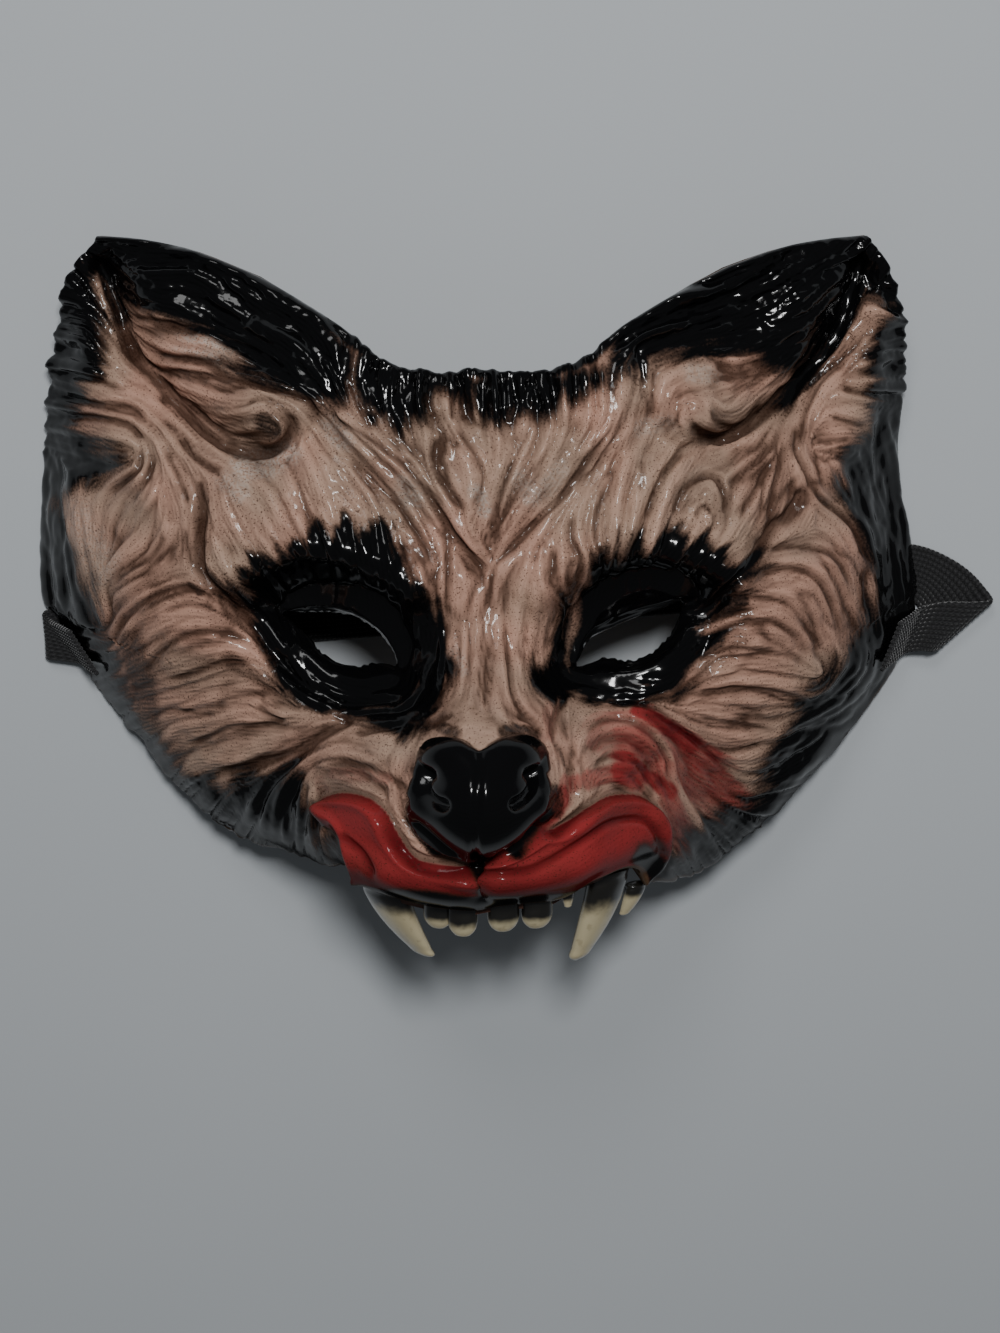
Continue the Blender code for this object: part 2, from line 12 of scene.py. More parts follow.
import bpy
import numpy as np
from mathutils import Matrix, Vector

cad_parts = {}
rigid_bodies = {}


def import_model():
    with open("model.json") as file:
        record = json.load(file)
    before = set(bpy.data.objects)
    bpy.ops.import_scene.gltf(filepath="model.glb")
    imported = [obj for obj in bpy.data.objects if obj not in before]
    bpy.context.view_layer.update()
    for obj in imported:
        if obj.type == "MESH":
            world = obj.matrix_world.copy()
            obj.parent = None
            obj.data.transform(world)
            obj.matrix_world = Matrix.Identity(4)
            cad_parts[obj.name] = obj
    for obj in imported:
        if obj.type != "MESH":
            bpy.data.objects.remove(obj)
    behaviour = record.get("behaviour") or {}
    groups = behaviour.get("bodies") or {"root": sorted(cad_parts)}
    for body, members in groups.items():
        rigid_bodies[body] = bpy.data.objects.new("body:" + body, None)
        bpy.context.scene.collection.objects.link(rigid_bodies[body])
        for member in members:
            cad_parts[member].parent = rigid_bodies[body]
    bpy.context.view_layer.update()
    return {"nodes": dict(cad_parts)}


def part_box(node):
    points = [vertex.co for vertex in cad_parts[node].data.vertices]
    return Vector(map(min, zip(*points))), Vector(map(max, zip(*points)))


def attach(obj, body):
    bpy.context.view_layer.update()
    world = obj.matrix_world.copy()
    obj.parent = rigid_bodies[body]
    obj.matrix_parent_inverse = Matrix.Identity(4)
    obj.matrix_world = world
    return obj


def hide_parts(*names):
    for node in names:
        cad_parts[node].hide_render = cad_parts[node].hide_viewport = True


for leftover in list(bpy.data.objects):
    bpy.data.objects.remove(leftover)
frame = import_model()
print("solids", sorted(frame["nodes"]))

# %% [markdown]
# ## Where the viewer stands
# The photograph looks down on the mask from 15 degrees off the vertical. The focal length in
# pixels and the frame's size also let us turn any point of the mask into a place in the
# photograph, which is how the sculpting and the paint below are placed.

# %% Camera
FRAME_WIDTH = 1000
FRAME_HEIGHT = 1333
FOCAL_PIXELS = 2400.0
FILM = 36.0
VIEW_TILT = math.radians(15)
VIEW_DISTANCE = 0.545
LOOK_AT = np.array([-0.00362, -0.01388, 0.040])

VIEW_BACK = np.array([0.0, math.sin(VIEW_TILT), math.cos(VIEW_TILT)])
VIEW_UP = np.array([0.0, math.cos(VIEW_TILT), -math.sin(VIEW_TILT)])
PIXEL = VIEW_DISTANCE / FOCAL_PIXELS

camera = bpy.data.objects.new("camera", bpy.data.cameras.new("camera"))
bpy.context.scene.collection.objects.link(camera)
camera.data.sensor_width = FILM
camera.data.lens = FILM * FOCAL_PIXELS / FRAME_HEIGHT
camera.location = LOOK_AT + VIEW_BACK * VIEW_DISTANCE
camera.rotation_euler = (-VIEW_TILT, 0.0, 0.0)
bpy.context.scene.camera = camera


def in_photo(points):
    """The column and the row of the photograph where each point shows."""
    seen = points - LOOK_AT
    depth = VIEW_DISTANCE - seen @ VIEW_BACK
    column = FRAME_WIDTH / 2 + FOCAL_PIXELS * seen[..., 0] / depth
    row = FRAME_HEIGHT / 2 - FOCAL_PIXELS * (seen @ VIEW_UP) / depth
    return column, row


print("one pixel is about", round(PIXEL * 1000, 3), "mm on the mask")

# %% [markdown]
# ## The curves of the moulding
# The face is a patch between four edges, with its height read from cross sections, so the
# same few tables as in the solid's source give the same form at any fineness. Tracing the
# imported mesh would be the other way, but its flat faces would show through.

# %% Sizes of the moulding
HALF_WIDTH = 0.1085
EAR_HEIGHT = 0.087
CHIN_DROP = 0.0605
MASK_DEPTH = 0.096
WALL = 0.002
SEAT_GAP = 0.0003
NORMAL_STEP = 0.004
SIDE_FADE = 0.07
TOP_FADE = 0.06
STROKE_STEPS = 12
TINY = 1e-12

# %% Tables of the moulding
TOP_EDGE = (
    # across, x, y, z
    (0.00, 0.000, 0.698, 0.438),
    (0.10, 0.083, 0.694, 0.438),
    (0.19, 0.157, 0.703, 0.432),
    (0.25, 0.203, 0.722, 0.417),
    (0.33, 0.267, 0.782, 0.385),
    (0.46, 0.378, 0.862, 0.344),
    (0.60, 0.498, 0.928, 0.292),
    (0.76, 0.627, 0.979, 0.229),
    (0.89, 0.728, 0.997, 0.182),
    (1.00, 0.811, 0.998, 0.146),
)
SIDE_EDGE = (
    # down, left x, left y, right x, right y, z
    (0.00, 0.811, 0.998, 0.811, 0.998, 0.146),
    (0.05, 0.866, 0.920, 0.857, 0.925, 0.125),
    (0.12, 0.908, 0.799, 0.901, 0.793, 0.099),
    (0.20, 0.934, 0.667, 0.915, 0.667, 0.068),
    (0.30, 0.955, 0.506, 0.914, 0.494, 0.031),
    (0.40, 0.986, 0.333, 0.925, 0.339, -0.012),
    (0.50, 1.000, 0.138, 0.960, 0.138, -0.012),
    (0.58, 0.989, -0.050, 0.990, -0.025, -0.012),
    (0.66, 0.931, -0.231, 0.959, -0.190, -0.012),
    (0.74, 0.857, -0.425, 0.897, -0.380, 0.016),
    (0.82, 0.774, -0.587, 0.811, -0.570, 0.052),
    (0.92, 0.668, -0.793, 0.700, -0.774, 0.109),
    (1.00, 0.571, -0.917, 0.604, -0.921, 0.156),
)
LIP_EDGE = (
    # across, x, y, z
    (-1.00, -0.571, -0.917, 0.156),
    (-0.85, -0.479, -0.967, 0.188),
    (-0.70, -0.387, -0.997, 0.229),
    (-0.62, -0.338, -0.992, 0.292),
    (-0.54, -0.298, -0.926, 0.448),
    (-0.46, -0.253, -0.886, 0.552),
    (-0.30, -0.170, -0.879, 0.646),
    (-0.15, -0.087, -0.879, 0.693),
    (0.00, 0.000, -0.871, 0.708),
    (0.14, 0.076, -0.869, 0.698),
    (0.28, 0.159, -0.868, 0.667),
    (0.39, 0.220, -0.818, 0.625),
    (0.48, 0.276, -0.810, 0.594),
    (0.55, 0.318, -0.876, 0.531),
    (0.60, 0.339, -0.967, 0.438),
    (0.68, 0.382, -1.036, 0.333),
    (0.84, 0.479, -1.058, 0.229),
    (1.00, 0.604, -0.921, 0.156),
)
SECTION_PLACES = (0.0, 0.15, 0.30, 0.45, 0.60, 0.75, 0.88)
SECTIONS = (
    # down, middle, bridge side, eye, temple, cheek, side, wall
    (0.10, 0.49, 0.49, 0.46, 0.38, 0.28, 0.22, 0.18),
    (0.22, 0.53, 0.52, 0.49, 0.43, 0.34, 0.26, 0.18),
    (0.35, 0.56, 0.54, 0.51, 0.47, 0.41, 0.30, 0.17),
    (0.48, 0.59, 0.54, 0.44, 0.44, 0.42, 0.32, 0.18),
    (0.58, 0.73, 0.61, 0.47, 0.44, 0.41, 0.31, 0.16),
    (0.68, 0.81, 0.73, 0.60, 0.47, 0.40, 0.30, 0.17),
    (0.78, 0.84, 0.79, 0.69, 0.52, 0.39, 0.29, 0.19),
    (0.88, 0.83, 0.80, 0.72, 0.60, 0.42, 0.29, 0.21),
)
FOLDS = (
    # sides, x0, y0, x1, y1, x2, y2, half width, height
    ("both", 0.80, 0.92, 0.72, 0.55, 0.47, 0.48, 0.042, -0.070),
    ("both", 0.49, 0.48, 0.38, 0.44, 0.33, 0.56, 0.036, -0.045),
    ("both", 0.66, 0.86, 0.58, 0.68, 0.46, 0.60, 0.060, 0.030),
    ("both", 0.84, 0.72, 0.80, 0.50, 0.70, 0.36, 0.040, 0.022),
    ("both", 0.14, 0.16, 0.30, 0.34, 0.52, 0.17, 0.055, 0.046),
    ("both", 0.17, -0.07, 0.28, 0.08, 0.42, 0.05, 0.080, -0.070),
    ("both", 0.17, -0.17, 0.30, -0.24, 0.44, 0.00, 0.034, 0.018),
    ("both", 0.40, -0.20, 0.56, -0.02, 0.70, 0.10, 0.090, 0.025),
    ("both", 0.30, 0.50, 0.16, 0.38, 0.01, 0.22, 0.026, -0.016),
    ("one", -0.05, 0.62, 0.02, 0.50, 0.01, 0.28, 0.020, -0.012),
    ("both", 0.15, -0.18, 0.22, -0.30, 0.20, -0.55, 0.040, 0.020),
    ("one", 0.00, -0.62, 0.00, -0.70, 0.00, -0.78, 0.022, -0.030),
    ("one", -0.33, -0.66, -0.25, -0.74, -0.02, -0.84, 0.036, 0.028),
    ("one", 0.02, -0.74, 0.22, -0.72, 0.38, -0.70, 0.040, 0.030),
    ("one", 0.36, -0.64, 0.40, -0.78, 0.37, -0.92, 0.030, 0.022),
    ("one", 0.18, -0.46, 0.28, -0.52, 0.36, -0.44, 0.026, -0.018),
)
LUMPS = (
    # sides, x, y, length x, length y, steepness, height
    ("one", 0.000, -0.330, 0.128, 0.245, 4.0, 0.150),
    ("both", 0.095, -0.400, 0.045, 0.110, 2.0, 0.026),
    ("both", 0.088, -0.330, 0.026, 0.055, 2.0, -0.035),
    ("one", 0.000, -0.145, 0.030, 0.055, 2.0, -0.030),
)


# %% Reading the tables
def smooth_table(rows, places):
    """Read a table at the given places, smoothly; the first column is the place."""
    table = np.array(rows, dtype=float)
    stations, values = table[:, 0], table[:, 1:]
    steps = np.diff(stations)[:, None]
    slopes = np.diff(values, axis=0) / steps
    tangents = np.empty_like(values)
    tangents[0], tangents[-1] = slopes[0], slopes[-1]
    tangents[1:-1] = (slopes[:-1] * steps[1:] + slopes[1:] * steps[:-1]) / (steps[1:] + steps[:-1])
    places = np.asarray(places, dtype=float)
    low = np.clip(np.searchsorted(stations, places, side="right") - 1, 0, len(stations) - 2)
    step = steps[low]
    t = (places - stations[low])[:, None] / step
    return ((2 * t**3 - 3 * t**2 + 1) * values[low] + (t**3 - 2 * t**2 + t) * step * tangents[low]
            + (3 * t**2 - 2 * t**3) * values[low + 1] + (t**3 - t**2) * step * tangents[low + 1])


def to_metres(shares):
    """Turn x, y and z shares into metres."""
    shares = np.asarray(shares, dtype=float)
    rise = np.where(shares[..., 1] >= 0, EAR_HEIGHT, CHIN_DROP)
    scale = np.stack([np.full_like(rise, HALF_WIDTH), rise, np.full_like(rise, MASK_DEPTH)], axis=-1)
    return shares * scale


def top_edge(across):
    shares = smooth_table(TOP_EDGE, np.abs(across))
    shares[:, 0] *= np.sign(across)
    return to_metres(shares)


def side_edges(down):
    shares = smooth_table(SIDE_EDGE, down)
    left = shares[:, [0, 1, 4]] * np.array([-1, 1, 1])
    return to_metres(left), to_metres(shares[:, [2, 3, 4]])


def lip_edge(across):
    return to_metres(smooth_table(LIP_EDGE, across))


print("the ears' tips are", (top_edge([1.0])[0, 1] * 1000).round(), "mm above the eyes")

# %% The surface of the moulding
def near_path(x, y, path, reach):
    """Distance from each point to a path, and how far along the path the nearest place is."""
    nearest = np.full(len(x), float(reach))
    place = np.zeros(len(x))
    low, high = path.min(axis=0) - reach, path.max(axis=0) + reach
    close = np.flatnonzero((x > low[0]) & (x < high[0]) & (y > low[1]) & (y < high[1]))
    px, py = x[close], y[close]
    best, where = nearest[close], place[close]
    for k, (first, last) in enumerate(zip(path[:-1], path[1:])):
        run = last - first
        along = ((px - first[0]) * run[0] + (py - first[1]) * run[1]) / max(run @ run, TINY)
        along = np.clip(along, 0.0, 1.0)
        gap = np.hypot(px - first[0] - along * run[0], py - first[1] - along * run[1])
        closer = gap < best
        best = np.where(closer, gap, best)
        where = np.where(closer, (k + along) / (len(path) - 1), where)
    nearest[close], place[close] = best, where
    return nearest, place


def sides_of(sides):
    return (-1, 1) if sides == "both" else (1,)


def relief(points, across, down):
    """Height that the folds and lumps add, fading out at the rims of the sides and ears."""
    x, y = points[:, 0], points[:, 1]
    height = np.zeros(len(x))
    t = np.linspace(0.0, 1.0, STROKE_STEPS + 1)[:, None]
    for sides, *shares, half_width, rise in FOLDS:
        for side in sides_of(sides):
            drawn = [(side * shares[k], shares[k + 1], 0.0) for k in (0, 2, 4)]
            start, bend, end = to_metres(drawn)[:, :2]
            path = (1 - t)**2 * start + 2 * t * (1 - t) * bend + t**2 * end
            width = half_width * HALF_WIDTH
            gap, _ = near_path(x, y, path, 4 * width)
            height += rise * MASK_DEPTH * np.exp(-(gap / width)**2)
    for sides, *centre, length_x, length_y, steepness, rise in LUMPS:
        for side in sides_of(sides):
            middle = to_metres([side * centre[0], centre[1], 0.0])
            reach = ((np.abs(x - middle[0]) / (length_x * HALF_WIDTH))**2
                     + (np.abs(y - middle[1]) / (length_y * CHIN_DROP))**2)
            height += rise * MASK_DEPTH * np.exp(-reach**(steepness / 2))
    fade = np.clip((1 - np.abs(across)) / SIDE_FADE, 0, 1) * np.clip(down / TOP_FADE, 0, 1)
    return height * fade


def face_height(across, down):
    """Height of the bare face, from the table of sections between the four edges."""
    half_places = np.array(SECTION_PLACES)
    places = np.concatenate([-half_places[:0:-1], half_places])
    rows = [(0.0, *top_edge(places)[:, 2])]
    for place_down, *shares in SECTIONS:
        half = np.array(shares) * MASK_DEPTH
        rows.append((place_down, *half[:0:-1], *half))
    rows.append((1.0, *lip_edge(places)[:, 2]))
    levels, level_of = np.unique(down, return_inverse=True)
    inner = smooth_table(rows, levels)
    left, right = side_edges(levels)
    heights = np.empty(len(across))
    order = np.argsort(level_of, kind="stable")
    ends = np.searchsorted(level_of[order], np.arange(len(levels) + 1))
    for k in range(len(levels)):
        here = order[ends[k]:ends[k + 1]]
        section = [(-1.0, left[k, 2]), *zip(places, inner[k]), (1.0, right[k, 2])]
        heights[here] = smooth_table(section, across[here])[:, 0]
    return heights


def face_surface(across, down):
    """Points of the bare outer face at each pair of across (-1 to 1) and down (0 to 1)."""
    across = np.asarray(across, dtype=float)
    down = np.asarray(down, dtype=float)
    corners = np.array([-1.0, 1.0])
    w = (across[:, None] + 1) / 2
    v = down[:, None]
    top_ends, lip_ends = top_edge(corners), lip_edge(corners)
    left, right = side_edges(down)
    points = ((1 - v) * top_edge(across) + v * lip_edge(across) + (1 - w) * left + w * right
              - (1 - v) * ((1 - w) * top_ends[0] + w * top_ends[1])
              - v * ((1 - w) * lip_ends[0] + w * lip_ends[1]))
    points[:, 2] = face_height(across, down) + relief(points, across, down)
    return points


def outward(across, down):
    """Outward directions of the bare face."""
    low_across = np.clip(np.asarray(across) - NORMAL_STEP, -1, 1)
    high_across = np.clip(np.asarray(across) + NORMAL_STEP, -1, 1)
    low_down = np.clip(np.asarray(down) - NORMAL_STEP, 0, 1)
    high_down = np.clip(np.asarray(down) + NORMAL_STEP, 0, 1)
    along_x = face_surface(high_across, down) - face_surface(low_across, down)
    along_y = face_surface(across, low_down) - face_surface(across, high_down)
    normals = np.cross(along_x, along_y)
    return normals / np.linalg.norm(normals, axis=1, keepdims=True)


def lip_frame(across):
    """The lip's edge: its points, the inward direction level with the floor, the wall there."""
    across = np.atleast_1d(np.asarray(across, dtype=float))
    points = face_surface(across, np.ones(len(across)))
    normals = outward(across, np.ones(len(across)))
    level = normals * np.array([1.0, 0.0, 1.0])
    reach = np.linalg.norm(level, axis=1, keepdims=True)
    return points, -level / reach, WALL * reach


print("the muzzle stands", (face_surface([0.0], [0.78])[0, 2] * 1000).round(), "mm high")

# %% [markdown]
# ## Closed skins
# Every thin part here, latex or elastic, is a pair of grids: an outer one and an inner one.
# A Solidify modifier would do for an even wall, but sculpted fur wants a smooth inside under
# a rough outside, so the two skins are joined here by hand round their edges and holes.

# %% Building closed skins
def new_object(name, points, faces, attributes):
    """A mesh object from arrays, with one float attribute for each named array."""
    mesh = bpy.data.meshes.new(name)
    mesh.from_pydata(points.tolist(), [], faces.tolist())
    mesh.update()
    for key, values in attributes.items():
        layer = mesh.attributes.new(key, "FLOAT", "POINT")
        layer.data.foreach_set("value", np.asarray(values, dtype=np.float32))
    mesh.shade_smooth()
    obj = bpy.data.objects.new(name, mesh)
    bpy.context.scene.collection.objects.link(obj)
    return obj


def skin_faces(rows, columns, kept):
    """Faces of two joined grids, where kept marks the cells that aren't holes."""
    index = np.arange(rows * columns).reshape(rows, columns)
    a, b, c, d = index[:-1, :-1], index[:-1, 1:], index[1:, 1:], index[1:, :-1]
    front = np.stack([a, d, c, b], axis=-1)[kept]
    back = np.stack([a, b, c, d], axis=-1)[kept] + rows * columns
    rim = []
    framed = np.pad(kept, 1)
    for first, last, open_side in (
        (a, b, ~framed[:-2, 1:-1]), (b, c, ~framed[1:-1, 2:]),
        (c, d, ~framed[2:, 1:-1]), (d, a, ~framed[1:-1, :-2]),
    ):
        edge = kept & open_side
        rim.append(np.stack([first[edge], last[edge], last[edge] + rows * columns,
                             first[edge] + rows * columns], axis=-1))
    return np.concatenate([front, back, *rim])


def only_used(points, faces, attributes):
    """Drop the points that no face uses."""
    used, compact = np.unique(faces, return_inverse=True)
    kept_values = {key: values[used] for key, values in attributes.items()}
    return points[used], compact.reshape(faces.shape), kept_values


# %% [markdown]
# ## The teeth
# Two curved fangs, four small incisors, a side tooth and a premolar hang from the lip. Each
# is a tapered, flattened cone with a rounded tip. The solids' teeth have ten sides, so they
# are replaced by finer ones from the same table, the incisors a little longer and the others a
# little wider, as the photograph shows them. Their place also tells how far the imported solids
# were moved to stand with their box's middle at the origin.

# %% Tooth tables
TEETH = (
    # name, across, width, length, lean, depth
    ("fang_left", -0.422, 0.0138, 0.0188, 0.0098, 0.46),
    ("incisor_1", -0.173, 0.0060, 0.0068, 0.0000, 0.62),
    ("incisor_2", -0.077, 0.0060, 0.0080, 0.0000, 0.62),
    ("incisor_3", 0.088, 0.0064, 0.0078, 0.0000, 0.62),
    ("incisor_4", 0.210, 0.0064, 0.0076, 0.0000, 0.62),
    ("side_tooth", 0.330, 0.0032, 0.0060, 0.0000, 0.80),
    ("fang_right", 0.505, 0.0108, 0.0242, -0.0076, 0.60),
    ("premolar_right", 0.600, 0.0048, 0.0085, -0.0030, 0.70),
)
TOOTH_OUTLINE = (
    # along, width
    (0.00, 0.00),
    (0.04, 0.74),
    (0.15, 1.00),
    (0.31, 1.00),
    (0.50, 0.91),
    (0.69, 0.76),
    (0.85, 0.58),
    (0.96, 0.36),
    (1.00, 0.00),
)
INCISOR_OUTLINE = (
    # along, width
    (0.00, 0.00),
    (0.04, 0.80),
    (0.15, 1.05),
    (0.40, 1.14),
    (0.62, 1.12),
    (0.80, 0.96),
    (0.91, 0.70),
    (0.97, 0.42),
    (1.00, 0.00),
)
TOOTH_TOP_GAP = 0.0001
LEAN_POWER = 1.6
TOOTH_SIDES = 28
TOOTH_RINGS = 40
SOLID_SIDES = 10
SOLID_RINGS = 8


def tooth_points(place, width, length, lean, depth, sides, rings, taper=TOOTH_OUTLINE):
    """Rings of a tooth from root to tip, before the move to the origin."""
    turn = np.arange(sides) * 2 * math.pi / sides
    along = (1 - np.cos(np.arange(1, rings) * math.pi / rings)) / 2
    along = np.concatenate([[0.0], along, [1.0]])
    outline = smooth_table(taper, along)[:, 0]
    edge, inward, _ = lip_frame(place)
    tangent = np.cross(inward[0], [0.0, 1.0, 0.0])
    root = edge[0] + inward[0] * (SEAT_GAP + width * depth / 2)
    root[1] -= SEAT_GAP + TOOTH_TOP_GAP
    points = (root + np.multiply.outer(np.outer(outline, np.cos(turn)) * width / 2, tangent)
              + np.multiply.outer(np.outer(outline, np.sin(turn)) * width / 2 * depth, inward[0]))
    points[..., 1] -= (length * along)[:, None]
    points[..., 0] += (lean * along**LEAN_POWER)[:, None]
    return points, np.repeat(along[:, None], sides, axis=1)


# %% How far the solids were moved
sample = TEETH[2]
sample_points, _ = tooth_points(*sample[1:], SOLID_SIDES, SOLID_RINGS)
sample_low, sample_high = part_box(sample[0])
sample_points = sample_points.reshape(-1, 3)
sample_middle = (sample_points.min(axis=0) + sample_points.max(axis=0)) / 2
STAND = (np.array(sample_low) + np.array(sample_high)) / 2 - sample_middle
print("the solids stand", (STAND * 1000).round(3), "mm from the eye line's middle")

# %% [markdown]
# ## The skin's fine grid
# The grid is laid row by row. Where the side walls would run below the floor, each row ends
# where the wall meets the floor, or the top of the small notch that the strap passes under.

# %% Fine grid
COLUMNS = 364
ROWS = 249
CROWD = 1.12
RIM_SAMPLES = 60
RIM_FROM = 0.80
NOTCH_TOP = 0.0020
NOTCH_ROOM = 0.0007
STRAP_WIDTH = 0.0127
STRAP_DOWN = {-1: 0.632, 1: 0.622}

levels = np.linspace(0.0, 1.0, ROWS + 1)


def rim_reach(side):
    """For each row, how far across the side wall goes before it meets what it rests on."""
    across = np.linspace(RIM_FROM, 1.0, RIM_SAMPLES + 1)
    points = face_surface(side * np.tile(across, len(levels)), np.repeat(levels, len(across)))
    points = points.reshape(len(levels), len(across), 3)
    strap_y = face_surface([side], [STRAP_DOWN[side]])[0, 1]
    beside = np.abs(points[..., 1] - strap_y) - STRAP_WIDTH / 2 - NOTCH_ROOM
    floor_line = np.where(beside < 0, NOTCH_TOP, 0.0)
    gap = points[..., 2] - floor_line
    reach = np.ones(len(levels))
    for k, row in enumerate(gap):
        under = np.flatnonzero(row < 0)
        if len(under) and under[0] > 0:
            j = under[0]
            reach[k] = across[j - 1] + (across[j] - across[j - 1]) * row[j - 1] / (row[j - 1] - row[j])
    return reach


spread = np.linspace(-1.0, 1.0, COLUMNS + 1)
spread = CROWD * spread - (CROWD - 1) * spread**3
reach_left, reach_right = rim_reach(-1), rim_reach(1)
grid_across = np.where(spread[None, :] < 0, spread * reach_left[:, None], spread * reach_right[:, None])
grid_down = np.repeat(levels[:, None], COLUMNS + 1, axis=1)
bare = face_surface(grid_across.ravel(), grid_down.ravel()) + STAND
bare = bare.reshape(ROWS + 1, COLUMNS + 1, 3)


def grid_normals(points):
    """Outward directions of a grid of points."""
    normals = np.cross(np.gradient(points, axis=1), -np.gradient(points, axis=0))
    return normals / np.maximum(np.linalg.norm(normals, axis=2, keepdims=True), TINY)


bare_normals = grid_normals(bare)
column, row = in_photo(bare)
column, row = column.ravel(), row.ravel()
facing = np.clip((bare_normals @ VIEW_BACK).ravel(), 0, 1)
print(len(column), "places on the skin, photo columns", column.min().round(), "to", column.max().round())

# %% [markdown]
# ## Strokes, outlines and combed noise
# Fur in latex is a pattern of long, gently bent grooves that all follow one flow. It could be
# drawn lock by lock, which takes thousands of strokes. Instead about 150 drawn strokes say
# which way the fur runs, and a random pattern is smeared along that flow, as a comb would.

# %% Drawing helpers
CURVE_STEPS = 5
DEEPEST = 60.0


def bent(points, closed=False):
    """A smooth path through a few drawn points."""
    points = np.array(points, dtype=float)
    if closed:
        padded = np.vstack([points[-1], points, points[:2]])
    else:
        padded = np.vstack([2 * points[0] - points[1], points, 2 * points[-1] - points[-2]])
    t = np.arange(CURVE_STEPS)[:, None] / CURVE_STEPS
    path = []
    for before, start, end, after in zip(padded[:-3], padded[1:-2], padded[2:-1], padded[3:]):
        path.append(0.5 * (2 * start + (end - before) * t + (2 * before - 5 * start + 4 * end - after) * t**2
                           + (3 * start - before - 3 * end + after) * t**3))
    return np.vstack([*path, points[0] if closed else points[-1]])


def depth_in(outline):
    """How deep each place lies inside an outline, in pixels; outside it is negative."""
    path = bent(outline, closed=True)
    gap, _ = near_path(column, row, path, DEEPEST)
    inside = np.zeros(len(column), dtype=bool)
    low, high = path.min(axis=0), path.max(axis=0)
    close = np.flatnonzero((column > low[0]) & (column < high[0]) & (row > low[1]) & (row < high[1]))
    px, py = column[close], row[close]
    crossed = np.zeros(len(close), dtype=bool)
    for (x0, y0), (x1, y1) in zip(path[:-1], path[1:]):
        spans = (y0 > py) != (y1 > py)
        rise = y1 - y0 if abs(y1 - y0) > TINY else TINY
        crossed ^= spans & (px < (x1 - x0) * (py - y0) / rise + x0)
    inside[close] = crossed
    return np.where(inside, gap, -gap)


def ease(value):
    """0 below 0, 1 above 1, and smooth between."""
    value = np.clip(value, 0.0, 1.0)
    return value * value * (3 - 2 * value)


def bell(value):
    return np.exp(-value**2)


# %% [markdown]
# ## Strokes drawn over the photograph
# The long folds, the grooves and the creases are cut into the latex as drawn. The flow strokes
# cut nothing and only tell the fur which way to run. Places are in pixels of the photograph.

